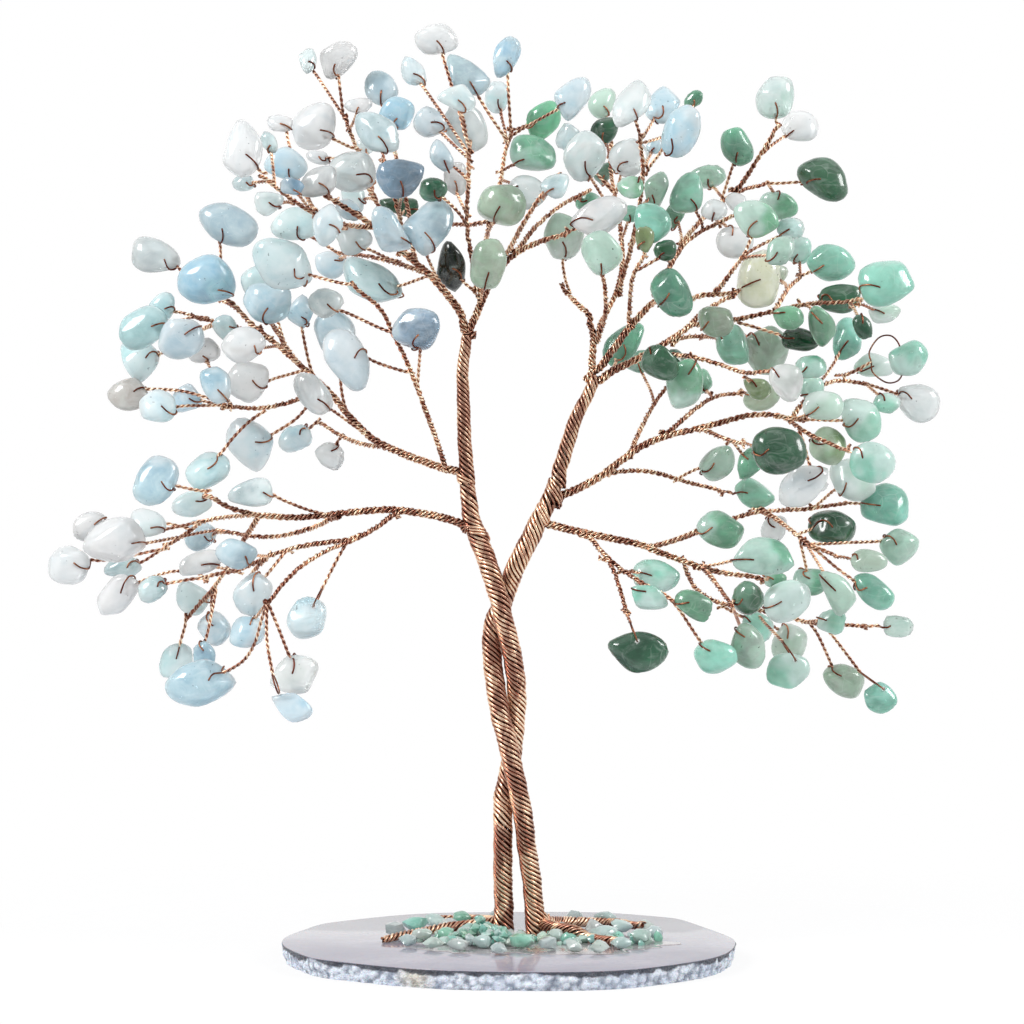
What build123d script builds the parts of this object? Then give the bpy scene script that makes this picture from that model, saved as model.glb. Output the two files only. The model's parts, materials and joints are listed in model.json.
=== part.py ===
from build123d import *
import math
import os
import random

# Gemstone tree: tumbled chips on twisted copper wire, rooted on a polished slice of agate.
# Lengths are in millimetres, +X is right, +Y is away from the viewer, +Z is up, and the
# origin is on the table under the middle of the slice. Places are read from the photograph
# as pixels (right, down), with a depth share that is -1 at the crown's front and 1 at its back.

# The photograph: what one pixel measures at the trunk, how far off the eye is, the pixel that
# lies straight ahead of it, and the row of the table's level at the trunk
pixel_size = 0.175
eye_distance = 572.0
middle_pixel = (509, 512)
table_row = 958.3
eye_height = (table_row - middle_pixel[1]) * pixel_size

# The crown and its wire
crown_half_depth = 30.0
strand_width = 3.6
strand_gap = 0.2
upper_strand_width = 2.5
limb_width = 1.7
branch_width = 1.15
twig_width = 0.8
wire_width = 0.38
root_width = 2.0

# The stones
stone_thickness_share = 0.72
thickness_spread_share = 0.15
corner_reach_share = 1.12
roll_degrees = 25
level_spread_share = 0.1
turn_spread_share = 0.18
pile_thickness_share = 0.8
seat_depth_share = 0.42
seat_run_share = 0.8
stone_clearance = 0.45
ring_shares = [(-0.72, 3), (-0.05, 4), (0.36, 3), (0.82, 2)]
swinging_ring_shares = [(-0.72, 3), (-0.2, 5)]
wire_clearance = 0.3

# A stone that hangs free: its drilled hole, and the wire loop that it swings on
bore_width = 0.6
loop_margin = 0.8
swing_degrees = 25

# The slice and what is glued on it
slice_thickness = 3.3
glue_width = 9.0
glue_height = 0.9
glue_sides = 9
pile_gap = 0.05
foot_depth = 0.6

# How finely pieces are drawn, and how easily each kind gives way in depth to what crosses it
strand_sides = 7
limb_sides = 5
branch_sides = 4
twig_sides = 3
loop_sides = 3
twig_step = 5.0
limb_give_share = 0.2
branch_give_share = 0.5
last_root_share = 0.97
least_kept_share = 0.6
bead_spacing = 1.3
settling_rounds = 70
random.seed(7)


# Outline of the slice's polished top, as pixels on its far edge and then on its near edge
slice_far_pixels = [
    (286, 936), (300, 931), (320, 924), (360, 919), (400, 915), (445, 912.6), (500, 912), (555, 911.8),
    (600, 912.4), (640, 915), (680, 919), (700, 925), (718, 932), (732, 937),
]
slice_near_pixels = [
    (733, 946), (722, 954), (700, 960), (680, 963), (640, 968), (600, 970.5), (550, 971.4), (500, 971),
    (440, 969.6), (400, 967), (340, 961), (318, 958.5), (298, 952), (285, 945),
]

# The two strands of the trunk, from the feet up. In the twisted part they wind round each
# other: a row there is the middle pixel of the pair and the left strand's turn in degrees.
left_foot = (503, 0.16)
right_foot = (537, 0.16)
left_foot_shares = [(504, 905, 0.14), (503, 880, 0.10), (503, 845, 0.04)]
right_foot_shares = [(534, 905, 0.14), (532, 880, 0.10), (526.5, 845, 0.04)]
twist_pixels = [
    (513.5, 820, 166), (511.5, 800, 144), (511.5, 780, 115), (511.5, 760, 90), (510.5, 740, 72),
    (508.5, 720, 48), (507.5, 700, 27), (505.5, 680, 5), (503, 660, -15), (500.5, 640, -35),
    (499, 622, -62), (502, 603, -96), (502, 582, -138),
]
left_strand_shares = [(487, 560, 0), (479, 540, 0), (471.5, 520, 0), (469, 500, 0), (467, 478, 0)]
left_upper_shares = [(467, 478, 0), (464, 440, 0), (463, 400, 0.02), (462, 370, 0.02), (467, 334, 0)]
right_strand_shares = [(519, 560, 0), (530, 540, 0), (539, 520, 0), (550, 500, 0), (556, 480, 0)]
right_upper_shares = [(556, 480, 0), (563, 458, 0), (569, 438, 0), (576, 416, 0), (586, 398, 0),
    (598, 372, 0)]

# Roots on the slice: pixels, each with how many root widths its middle lies above the stone
root_shares = {
    "front_left_root": [(502, 922, 1.2), (478, 926, 0.9), (440, 930, 0.56), (386, 937, 0.56)],
    "back_left_root": [(502, 922, 1.2), (486, 920, 0.8), (464, 918, 0.56), (442, 919, 0.56)],
    "front_right_root": [(538, 922, 1.2), (556, 930, 0.8), (582, 936, 0.56), (620, 942, 0.56)],
    "back_right_root": [(538, 922, 1.2), (560, 922, 0.8), (590, 921, 0.56), (616, 922, 0.56),
                        (640, 928, 0.56)],
}

# Small stones glued over the roots: colour, middle pixel, length and height in pixels, and
# how many pixels the stone's middle is above the slice
pile_pixels = [
    ("clear", 396, 929, 27, 16, 8), ("green", 416, 925, 28, 17, 8), ("clear", 435, 920, 26, 16, 8),
    ("green", 464, 918, 28, 16, 8), ("clear", 500, 917, 26, 16, 8), ("green", 534, 917, 27, 16, 8),
    ("clear", 574, 918, 26, 16, 8), ("green", 606, 919, 28, 16, 8), ("clear", 450, 925, 24, 15, 7),
    ("clear", 482, 924, 26, 16, 8), ("green", 562, 925, 26, 16, 8), ("clear", 592, 926, 24, 15, 7),
    ("green", 622, 926, 27, 16, 8), ("clear", 644, 926, 24, 15, 7), ("green", 420, 935, 24, 15, 7),
    ("green", 447, 934, 27, 16, 8), ("clear", 466, 934, 27, 17, 8), ("green", 487, 932, 26, 17, 8),
    ("green", 556, 935, 24, 15, 7), ("green", 606, 933, 30, 17, 8), ("clear", 655, 933, 24, 15, 7),
    ("clear", 408, 941, 22, 13, 6), ("green", 434, 943, 24, 14, 7), ("clear", 460, 945, 24, 14, 7),
    ("green", 484, 942, 26, 15, 7), ("clear", 507, 936, 26, 16, 8), ("green", 522, 941, 32, 18, 9),
    ("clear", 548, 944, 26, 15, 7), ("green", 574, 946, 24, 14, 7), ("clear", 598, 947, 24, 14, 7),
    ("green", 640, 937, 28, 17, 8), ("clear", 498, 949, 22, 13, 6), ("green", 622, 943, 22, 14, 7),
]

# Each limb: its own line from the trunk, the branches that leave it, and its stones. A stone
# has a colour, its middle pixel, length and width in pixels, slope in degrees, depth share,
# and the pixels of its twig from the branch on. A stone that swings has a name too, the pixel
# of its hole, the pixel where its loop closes, and whether its pin stands upright.
limb_shares = {}
limb_shares["lower_left"] = dict(
    limb=[(474, 535, 0), (450, 517, -0.03), (400, 511, -0.1), (345, 513, -0.16), (300, 518, -0.2),
          (258, 520, -0.25), (228, 508, -0.3), (207, 492, -0.34)],
    branches=[
        [(398, 511, -0.1), (378, 528, -0.24), (357, 540, -0.36), (325, 549, -0.5), (300, 564, -0.6),
         (283, 582, -0.66), (267, 603, -0.7)],
        [(357, 540, -0.36), (328, 542, -0.3), (300, 545, -0.26), (268, 556, -0.2), (245, 570, -0.14),
         (205, 578, -0.1)],
        [(300, 518, -0.2), (262, 514, 0.04), (230, 515, 0.2), (202, 520, 0.3), (188, 534, 0.36),
         (165, 548, 0.44)],
        [(338, 513, -0.16), (318, 528, 0.1), (282, 540, 0.26), (250, 536, 0.4), (215, 530, 0.52)],
        [(258, 520, -0.25), (244, 538, 0.0), (232, 560, 0.14), (216, 590, 0.24), (187, 618, 0.34)],
        [(268, 556, -0.2), (248, 580, -0.02), (238, 600, 0.08)],
    ],
    stones=[
        ("clear", 156, 480, 58, 36, 65, -0.4, [(207, 492), (180, 487)]),
        ("blue", 193, 503, 40, 26, 0, -0.16, [(207, 494), (203, 499)]),
        ("blue", 253, 492, 46, 28, 8, -0.3, [(325, 513), (300, 501), (283, 494)]),
        ("clear", 117, 539, 62, 44, 5, 0.02, [(205, 549), (180, 556), (154, 553)]),
        ("clear", 88, 528, 36, 26, 30, 0.36, [(190, 530), (150, 515), (112, 517)]),
        ("blue", 147, 524, 36, 28, -30, 0.2, [(202, 522), (172, 540)]),
        ("blue", 71, 564, 42, 36, 25, 0.3, [(165, 548), (130, 557), (97, 561)]),
        ("blue", 127, 568, 44, 22, 0, 0.48, [(172, 545), (156, 562)]),
        ("clear", 115, 597, 56, 30, 50, 0.1, [(205, 578), (175, 562), (140, 582)]),
        ("blue", 152, 589, 34, 22, 30, -0.14, [(205, 578), (174, 577)]),
        ("blue", 200, 535, 32, 28, 80, 0.62, [(225, 531), (213, 536)]),
        ("blue", 238, 554, 40, 26, -15, -0.46, [(268, 556), (259, 558)]),
        ("clear", 198, 564, 48, 24, 15, -0.34, [(240, 571), (222, 568)]),
        ("blue", 193, 598, 36, 30, -60, 0.42, [(216, 590), (210, 600)]),
        ("blue", 252, 595, 46, 32, 55, -0.4, [(290, 551), (266, 574)]),
        ("clear", 214, 628, 32, 30, -60, 0.34, [(213, 594), (212, 612)]),
        ("blue", 247, 631, 36, 30, 40, -0.5, [(267, 603), (257, 616)]),
        ("blue", 177, 659, 38, 26, 45, 0.4, [(187, 618), (179, 638)]),
        ("blue", 203, 683, 66, 40, 10, -0.36, [(267, 603), (252, 655), (238, 673)]),
        ("blue", 204, 655, 36, 20, 88, 0.0, [(216, 590), (206, 632)]),
        ("clear", 294, 676, 50, 36, 5, -0.6, [(267, 603), (280, 630), (290, 656)]),
        ("blue", 292, 705, 54, 26, -42, -0.82, [(267, 603), (264, 640)], "long_swinging_stone",
         (279, 693), (273, 675), False),
        ("blue", 307, 617, 42, 38, 45, -0.44, [(345, 543)], "diamond_swinging_stone",
         (314, 606), (322, 589), False),
    ],
)
limb_shares["middle_left"] = dict(
    limb=[(464, 471, 0), (440, 467, 0.04), (402, 456, 0.1), (370, 440, 0.16), (350, 420, 0.2),
          (325, 389, 0.26),
          (292, 357, 0.3), (256, 330, 0.34), (226, 294, 0.4)],
    branches=[
        [(325, 389, 0.26), (298, 402, 0.12), (262, 410, 0.0), (222, 405, -0.1)],
        [(268, 339, 0.33), (240, 327, 0.14), (215, 321, 0.02), (192, 318, -0.06)],
        [(256, 330, 0.34), (239, 309, 0.56), (219, 298, 0.66)],
        [(300, 364, 0.28), (285, 345, 0.06), (273, 322, -0.08)],
        [(446, 468, 0.02), (438, 443, -0.12), (428, 416, -0.24), (416, 386, -0.34), (406, 355, -0.42),
         (392, 334, -0.46), (385, 310, -0.5), (350, 285, -0.56)],
        [(385, 448, 0.13), (362, 447, 0.34), (340, 436, 0.52), (318, 420, 0.6)],
    ],
    stones=[
        ("clear", 156, 256, 54, 34, -15, 0.8, [(219, 298), (190, 270)]),
        ("clear", 226, 224, 60, 38, -22, 0.72, [(219, 298), (217, 250)]),
        ("blue", 208, 282, 54, 46, 15, 0.3, [(226, 294), (222, 292)]),
        ("blue", 140, 328, 50, 36, 25, -0.02, [(192, 318), (166, 323)]),
        ("blue", 180, 338, 44, 40, -20, -0.2, [(222, 323), (201, 330)]),
        ("blue", 162, 308, 30, 24, 60, 0.1, [(205, 320), (180, 311)]),
        ("blue", 138, 360, 44, 36, -60, 0.22, [(215, 321), (172, 352), (158, 358)]),
        ("clear", 203, 350, 32, 24, 0, 0.26, [(230, 405), (212, 375), (206, 362)]),
        ("clear", 243, 345, 46, 32, 10, -0.32, [(285, 345), (268, 353)]),
        ("blue", 226, 328, 30, 22, -40, -0.1, [(246, 329), (238, 328)]),
        ("blue", 267, 303, 48, 40, 0, -0.22, [(282, 340), (270, 325)]),
        ("blue", 262, 283, 40, 34, 20, 0.12, [(285, 345), (280, 318), (272, 300)]),
        ("blue", 284, 266, 62, 44, -35, -0.5, [(350, 285), (318, 279)]),
        ("blue", 216, 382, 46, 26, -70, -0.2, [(232, 407), (224, 400)]),
        ("clear", 247, 380, 50, 34, 55, 0.2, [(305, 370), (274, 383)]),
        ("clear", 130, 393, 38, 30, 0, 0.06, [(222, 405), (180, 384), (150, 390)]),
        ("blue", 156, 406, 38, 34, 0, -0.22, [(222, 405), (178, 405)]),
        ("blue", 187, 399, 34, 26, 30, 0.0, [(222, 405), (204, 401)]),
        ("blue", 208, 470, 44, 36, 25, -0.1, [(262, 410), (238, 432), (224, 450)]),
        ("blue", 251, 445, 52, 40, -60, 0.14, [(314, 397), (300, 422), (272, 434)]),
        ("clear", 325, 303, 34, 28, 0, -0.3, [(392, 334), (370, 324), (343, 310)]),
        ("blue", 301, 312, 36, 24, 70, 0.1, [(312, 374), (304, 345), (301, 332)]),
        ("blue", 335, 333, 48, 36, -60, 0.16, [(345, 412), (341, 385), (338, 360)]),
        ("blue", 347, 360, 60, 42, -50, -0.4, [(412, 374), (395, 363), (374, 356)]),
        ("blue", 417, 329, 44, 42, 0, -0.56, [(418, 390), (424, 368), (422, 352)]),
        ("clear", 314, 392, 48, 28, -55, -0.02, [(362, 434), (345, 430), (332, 416)]),
        ("blue", 296, 438, 34, 26, 20, 0.6, [(318, 420), (308, 430)]),
        ("clear", 330, 456, 34, 24, -30, 0.56, [(340, 436), (336, 446)]),
    ],
)
limb_shares["upper_left"] = dict(
    limb=[(467, 336, 0), (460, 314, 0), (448, 292, -0.02), (430, 275, -0.04), (415, 262, -0.06),
          (400, 250, -0.08),
          (375, 225, -0.12), (342, 206, -0.18), (318, 193, -0.22)],
    branches=[
        [(400, 250, -0.08), (385, 226, 0.14), (373, 192, 0.32), (358, 150, 0.42), (343, 116, 0.5)],
        [(408, 256, -0.07), (403, 226, -0.26), (392, 190, -0.36), (384, 160, -0.42)],
        [(415, 262, -0.06), (411, 226, 0.12), (402, 182, 0.2), (393, 142, 0.26)],
        [(375, 225, -0.12), (345, 229, -0.28), (314, 213, -0.4), (292, 202, -0.48), (274, 187, -0.54),
         (262, 174, -0.56)],
        [(430, 275, -0.04), (398, 263, 0.2), (368, 255, 0.38), (338, 253, 0.52)],
        [(318, 210, -0.38), (306, 196, -0.2), (298, 182, -0.1)],
    ],
    stones=[
        ("clear", 243, 149, 58, 36, 78, -0.6, [(262, 174), (256, 168)]),
        ("blue", 270, 143, 24, 15, -55, -0.36, [(274, 187), (273, 162)]),
        ("blue", 286, 164, 38, 32, 0, -0.14, [(298, 182), (296, 178)]),
        ("blue", 244, 183, 22, 16, 0, -0.36, [(268, 182), (256, 183)]),
        ("clear", 267, 203, 32, 24, 0, -0.72, [(292, 202), (284, 203)]),
        ("clear", 280, 124, 28, 17, -8, 0.1, [(298, 182), (303, 150), (293, 133)]),
        ("blue", 315, 127, 46, 42, 70, 0.3, [(358, 150), (337, 143)]),
        ("clear", 352, 171, 46, 40, 0, 0.02, [(380, 210), (371, 188)]),
        ("clear", 318, 182, 36, 28, 30, -0.3, [(335, 203), (330, 196)]),
        ("blue", 291, 186, 26, 18, -20, -0.6, [(314, 213), (300, 195)]),
        ("blue", 294, 224, 46, 34, 0, 0.3, [(338, 253), (314, 240)]),
        ("clear", 328, 223, 44, 26, 80, -0.62, [(345, 229), (337, 233)]),
        ("blue", 349, 212, 30, 20, -50, 0.04, [(380, 226), (362, 220)]),
        ("blue", 353, 240, 46, 28, 12, -0.06, [(398, 263), (376, 254)]),
        ("blue", 401, 178, 50, 36, -10, -0.62, [(400, 215), (402, 196)]),
        ("blue", 397, 114, 36, 32, 0, 0.2, [(393, 142), (395, 131)]),
        ("blue", 378, 132, 50, 34, -35, -0.36, [(384, 160), (382, 152)]),
        ("clear", 359, 106, 26, 16, 0, 0.2, [(350, 131), (356, 118)]),
        ("blue", 381, 88, 36, 30, -45, 0.5, [(400, 172), (388, 125), (384, 104)]),
        ("blue", 390, 233, 52, 30, -60, -0.4, [(404, 232), (400, 238)]),
        ("blue", 353, 198, 32, 22, -70, 0.5, [(375, 198), (364, 200)]),
        ("blue", 426, 228, 58, 42, 60, -0.34, [(442, 286), (424, 270), (421, 254)]),
        ("blue", 330, 264, 40, 24, -30, 0.74, [(350, 254), (342, 259)]),
        ("blue", 373, 284, 68, 36, -42, 0.1, [(430, 275), (412, 284), (398, 294)]),
        ("clear", 334, 62, 44, 30, 40, 0.36, [(343, 116), (341, 82)]),
        ("clear", 308, 60, 32, 16, -70, 0.7, [(343, 116), (326, 88), (315, 74)]),
        ("clear", 318, 157, 28, 14, -15, 0.56, [(362, 160), (334, 160)]),
        ("blue", 366, 146, 20, 16, 0, 0.7, [(373, 192), (368, 165)]),
    ],
)
limb_shares["crown"] = dict(
    limb=[(467, 337, 0), (476, 320, 0.02), (481, 301, 0.04), (492, 276, 0.02), (505, 259, 0),
          (522, 247, -0.04),
          (544, 241, -0.08), (567, 233, -0.14)],
    branches=[
        [(481, 301, 0.04), (474, 268, -0.1), (466, 234, -0.2), (466, 204, -0.28), (469, 176, -0.34),
         (469, 150, -0.38)],
        [(478, 288, -0.02), (483, 258, 0.16), (487, 222, 0.26), (500, 180, 0.34),
         (503, 154, 0.38), (511, 130, 0.42)],
        [(505, 259, 0), (518, 230, -0.22), (535, 206, -0.36), (548, 188, -0.44), (560, 172, -0.5)],
        [(514, 252, -0.02), (532, 226, 0.22), (560, 203, 0.4), (590, 190, 0.5)],
        [(487, 222, 0.26), (467, 226, 0.4), (446, 224, 0.52)],
    ],
    stones=[
        ("blue", 430, 122, 34, 28, 0, -0.12, [(469, 160), (455, 148), (441, 133)]),
        ("blue", 440, 155, 34, 20, -55, -0.5, [(468, 180), (449, 165)]),
        ("clear", 455, 182, 38, 22, 85, -0.1, [(466, 214), (458, 202)]),
        ("green", 433, 190, 28, 22, 0, -0.36, [(466, 222), (446, 198)]),
        ("green", 404, 207, 46, 18, -5, 0.44, [(446, 224), (430, 213)]),
        ("green", 451, 267, 52, 28, 88, 0.12, [(480, 296), (462, 286)]),
        ("green", 490, 262, 54, 32, 75, -0.36, [(481, 300), (486, 288)]),
        ("green", 501, 205, 44, 40, 0, -0.06, [(485, 240), (492, 226)]),
        ("clear", 528, 191, 36, 32, 0, 0.1, [(500, 180), (512, 184)]),
        ("blue", 556, 186, 32, 24, 40, -0.7, [(542, 196), (548, 192)]),
        ("green", 533, 154, 44, 36, -20, 0.16, [(501, 172), (514, 164)]),
        ("green", 543, 120, 38, 30, 60, 0.5, [(511, 130), (528, 124)]),
        ("blue", 570, 100, 46, 28, 50, 0.2, [(509, 136), (530, 120), (549, 117)]),
        ("clear", 436, 40, 40, 30, 0, -0.3, [(469, 150), (460, 110), (446, 60)]),
        ("blue", 413, 72, 32, 20, -55, 0.0, [(469, 154), (440, 112), (421, 88)]),
        ("clear", 467, 78, 56, 32, -38, 0.2, [(506, 140), (488, 115), (482, 98)]),
        ("blue", 458, 98, 36, 28, 0, -0.6, [(469, 150), (463, 116)]),
        ("clear", 465, 124, 56, 36, -50, 0.02, [(468, 166), (474, 146)]),
        ("clear", 506, 56, 42, 24, 60, 0.36, [(511, 130), (510, 90)]),
        ("blue", 497, 98, 38, 22, 80, 0.56, [(507, 142), (500, 120)]),
        ("clear", 599, 217, 54, 32, 25, -0.16, [(567, 233), (577, 228)]),
        ("green", 588, 202, 24, 18, 0, 0.62, [(575, 198), (581, 200)]),
    ],
)
limb_shares["inner_right"] = dict(
    limb=[(594, 382, 0), (590, 365, 0.02), (593, 348, 0.04), (596, 333, 0.06), (590, 318, 0.1),
          (577, 303, 0.14),
          (560, 288, 0.2)],
    branches=[
        [(596, 333, 0.06), (607, 314, 0.12), (619, 288, 0.2), (625, 260, 0.28), (621, 228, 0.36),
         (614, 200, 0.44),
         (609, 170, 0.52), (612, 142, 0.6)],
        [(593, 340, 0.05), (612, 314, -0.16), (603, 288, -0.28), (600, 270, -0.34)],
        [(617, 292, 0.18), (632, 250, 0.0), (640, 214, -0.12), (645, 172, -0.2), (641, 136, -0.26)],
    ],
    stones=[
        ("green", 562, 236, 46, 36, 80, 0.3, [(568, 295), (560, 262)]),
        ("blue", 567, 137, 34, 22, 60, 0.3, [(612, 190), (584, 162), (574, 150)]),
        ("clear", 583, 157, 46, 36, 65, -0.04, [(621, 228), (600, 190), (590, 178)]),
        ("green", 602, 104, 32, 24, 40, 0.66, [(612, 142), (607, 118)]),
        ("green", 602, 132, 38, 24, 65, 0.3, [(611, 158), (608, 146)]),
        ("clear", 632, 104, 54, 30, 70, -0.3, [(641, 136), (636, 128)]),
        ("blue", 664, 105, 44, 28, 60, -0.06, [(641, 140), (650, 124)]),
        ("blue", 680, 132, 54, 36, 60, -0.34, [(645, 172), (662, 150)]),
        ("green", 694, 99, 22, 14, 25, 0.3, [(641, 140), (670, 142), (692, 118)]),
        ("clear", 630, 158, 36, 34, 0, 0.2, [(614, 200), (619, 176)]),
        ("blue", 656, 146, 18, 13, 0, 0.02, [(644, 165), (650, 156)]),
        ("green", 631, 187, 26, 22, 0, -0.46, [(644, 180), (638, 184)]),
        ("green", 656, 190, 36, 22, 85, -0.02, [(642, 206), (649, 200)]),
        ("green", 603, 174, 38, 16, 60, 0.8, [(612, 190), (606, 184)]),
        ("green", 602, 252, 42, 34, -70, -0.44, [(600, 274), (600, 270)]),
        ("green", 630, 214, 22, 16, 0, 0.14, [(622, 240), (626, 226)]),
        ("green", 653, 221, 48, 32, -55, -0.3, [(634, 244), (642, 236)]),
    ],
)
limb_shares["upper_right"] = dict(
    limb=[(598, 376, 0), (613, 352, -0.04), (625, 332, -0.08), (640, 312, -0.12), (658, 296, -0.16),
          (694, 297, -0.24), (735, 293, -0.32)],
    branches=[
        [(658, 296, -0.16), (667, 270, 0.0), (681, 242, 0.1), (700, 230, 0.16), (722, 221, 0.2),
         (745, 209, 0.24)],
        [(672, 258, 0.04), (694, 226, 0.24), (722, 199, 0.38), (742, 187, 0.46), (768, 183, 0.54)],
        [(735, 190, 0.44), (752, 170, 0.34), (770, 142, 0.28), (777, 124, 0.24)],
        [(715, 295, -0.28), (730, 272, -0.44), (745, 254, -0.54)],
        [(631, 324, -0.1), (628, 298, -0.28), (634, 272, -0.42), (645, 256, -0.5)],
    ],
    stones=[
        ("green", 645, 238, 28, 18, -70, -0.6, [(645, 258), (646, 252)]),
        ("green", 666, 250, 22, 20, 0, -0.36, [(634, 272), (650, 266), (660, 258)]),
        ("green", 676, 213, 30, 18, 70, 0.36, [(681, 242), (678, 228)]),
        ("green", 688, 195, 44, 30, 65, 0.04, [(705, 228), (698, 214)]),
        ("green", 706, 178, 34, 26, 20, 0.62, [(722, 199), (716, 189)]),
        ("green", 737, 147, 52, 28, -60, 0.2, [(722, 199), (732, 176)]),
        ("clear", 775, 97, 42, 36, 70, 0.2, [(777, 124), (776, 118)]),
        ("clear", 798, 127, 36, 32, 0, 0.5, [(766, 150), (786, 136)]),
        ("green", 824, 179, 50, 38, -30, 0.46, [(768, 183), (790, 178), (800, 184)]),
        ("green", 779, 205, 36, 28, 0, 0.74, [(768, 183), (774, 192)]),
        ("green", 757, 219, 44, 34, -20, -0.5, [(745, 254), (752, 238)]),
        ("clear", 790, 229, 26, 22, 0, -0.44, [(745, 254), (765, 246), (780, 236)]),
        ("green", 780, 252, 34, 24, 40, -0.7, [(742, 257), (764, 257)]),
        ("clear", 736, 242, 36, 30, 0, 0.02, [(722, 221), (728, 229)]),
        ("clear", 714, 209, 26, 20, 0, -0.06, [(718, 222), (716, 218)]),
        ("clear", 737, 203, 24, 18, -30, 0.02, [(745, 209), (742, 206)]),
        ("clear", 759, 281, 56, 40, 80, -0.3, [(735, 293), (743, 290)]),
        ("green", 671, 292, 50, 32, -55, -0.46, [(650, 303), (661, 304)]),
    ],
)
limb_shares["middle_right"] = dict(
    limb=[(598, 379, 0), (640, 359, 0.06), (664, 345, 0.12), (685, 331, 0.18), (700, 312, 0.26),
          (730, 294, 0.34)],
    branches=[
        [(690, 325, 0.2), (740, 322, 0.04), (776, 308, -0.06), (806, 303, -0.12), (860, 302, -0.2)],
        [(672, 340, 0.14), (706, 336, 0.3), (748, 336, 0.46)],
        [(640, 359, 0.06), (662, 354, -0.12), (692, 354, -0.26), (720, 366, -0.36), (745, 375, -0.42),
         (772, 372, -0.48)],
        [(776, 308, -0.06), (786, 288, 0.12), (800, 276, 0.24)],
    ],
    stones=[
        ("green", 887, 282, 52, 48, 0, -0.3, [(860, 302), (868, 296)]),
        ("green", 884, 314, 36, 18, 0, 0.0, [(860, 302), (872, 310)]),
        ("green", 838, 300, 46, 28, 12, 0.12, [(800, 302), (818, 301)]),
        ("green", 863, 328, 26, 18, -60, -0.46, [(850, 302), (857, 316)]),
        ("green", 823, 326, 46, 24, -70, -0.3, [(806, 303), (814, 313)]),
        ("green", 790, 318, 38, 22, -10, -0.34, [(776, 308), (780, 314)]),
        ("green", 799, 340, 44, 22, -12, 0.06, [(740, 322), (778, 335)]),
        ("green", 766, 350, 50, 42, -60, 0.3, [(742, 336), (750, 341)]),
        ("green", 733, 345, 44, 32, -60, 0.0, [(700, 336), (722, 338)]),
        ("green", 716, 322, 36, 32, 0, -0.2, [(700, 324), (706, 323)]),
        ("green", 624, 345, 50, 30, 45, 0.36, [(612, 371), (616, 360)]),
        ("green", 659, 362, 44, 30, -60, -0.44, [(650, 357), (654, 358)]),
        ("green", 684, 385, 48, 34, 75, -0.3, [(692, 354), (688, 366)]),
        ("green", 787, 382, 38, 32, -50, -0.56, [(772, 372), (778, 376)]),
        ("green", 810, 367, 32, 22, 0, -0.3, [(772, 372), (796, 368)]),
        ("green", 757, 388, 30, 20, -30, -0.26, [(745, 375), (750, 382)]),
        ("green", 830, 262, 48, 34, -30, 0.16, [(800, 276), (812, 270)]),
        ("green", 797, 250, 32, 26, 0, 0.4, [(800, 276), (799, 264)]),
        ("green", 771, 276, 32, 20, 20, 0.4, [(788, 286), (780, 280)]),
    ],
)
limb_shares["outer_right"] = dict(
    limb=[(550, 506, 0), (570, 494, 0.02), (605, 474, 0.05), (624, 459, 0.06), (640, 446, 0.04),
          (660, 436, 0.02),
          (700, 428, -0.02), (735, 417, -0.06), (765, 413, -0.1), (805, 420, -0.16)],
    branches=[
        [(605, 474, 0.05), (652, 471, 0.2), (690, 483, 0.34), (722, 492, 0.42)],
        [(630, 453, 0.05), (640, 424, 0.28), (655, 400, 0.44), (672, 378, 0.54)],
        [(665, 434, 0.01), (690, 408, 0.18), (715, 395, 0.32), (742, 392, 0.42)],
        [(700, 428, -0.02), (722, 438, -0.24), (743, 443, -0.36)],
        [(790, 418, -0.14), (806, 400, 0.02), (818, 384, 0.12), (838, 377, 0.2), (866, 384, 0.26)],
        [(780, 416, -0.13), (800, 430, -0.32), (824, 441, -0.44), (848, 450, -0.5)],
    ],
    stones=[
        ("green", 888, 404, 28, 20, 0, 0.0, [(866, 384), (878, 394)]),
        ("green", 861, 419, 44, 34, -70, -0.16, [(805, 420), (844, 422)]),
        ("green", 823, 406, 40, 28, 0, -0.34, [(798, 419), (808, 412)]),
        ("green", 828, 446, 38, 32, -60, -0.16, [(800, 430), (815, 440)]),
        ("green", 870, 462, 44, 38, 0, -0.6, [(848, 450), (856, 454)]),
        ("green", 778, 452, 50, 44, 0, -0.56, [(743, 443), (756, 447)]),
        ("green", 750, 462, 34, 22, 60, -0.16, [(730, 440), (740, 452)]),
        ("clear", 806, 484, 54, 36, 35, -0.3, [(800, 430), (812, 464)]),
        ("green", 717, 462, 36, 30, 60, 0.2, [(676, 478), (702, 466)]),
        ("green", 752, 493, 42, 28, -5, 0.4, [(722, 492), (732, 492)]),
        ("green", 673, 362, 30, 22, 40, 0.76, [(672, 378), (673, 370)]),
        ("green", 637, 362, 34, 22, 20, 0.7, [(655, 400), (644, 376)]),
        ("green", 762, 398, 36, 24, 10, 0.3, [(742, 392), (750, 394)]),
        ("green", 700, 382, 30, 22, 30, 0.56, [(712, 397), (705, 390)]),
        ("green", 907, 357, 38, 34, 0, 0.2, [(842, 378)], "ringed_swinging_stone",
         (901, 357), (871, 362), True),
        ("green", 874, 366, 40, 24, -12, 0.5, [(838, 377), (856, 371)]),
        ("clear", 917, 401, 42, 36, -35, 0.3, [(866, 384), (896, 392)]),
        ("green", 848, 340, 42, 27, 80, 0.36, [(818, 384), (838, 358)]),
        ("green", 812, 388, 26, 22, 0, -0.1, [(806, 400), (810, 394)]),
    ],
)
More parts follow.
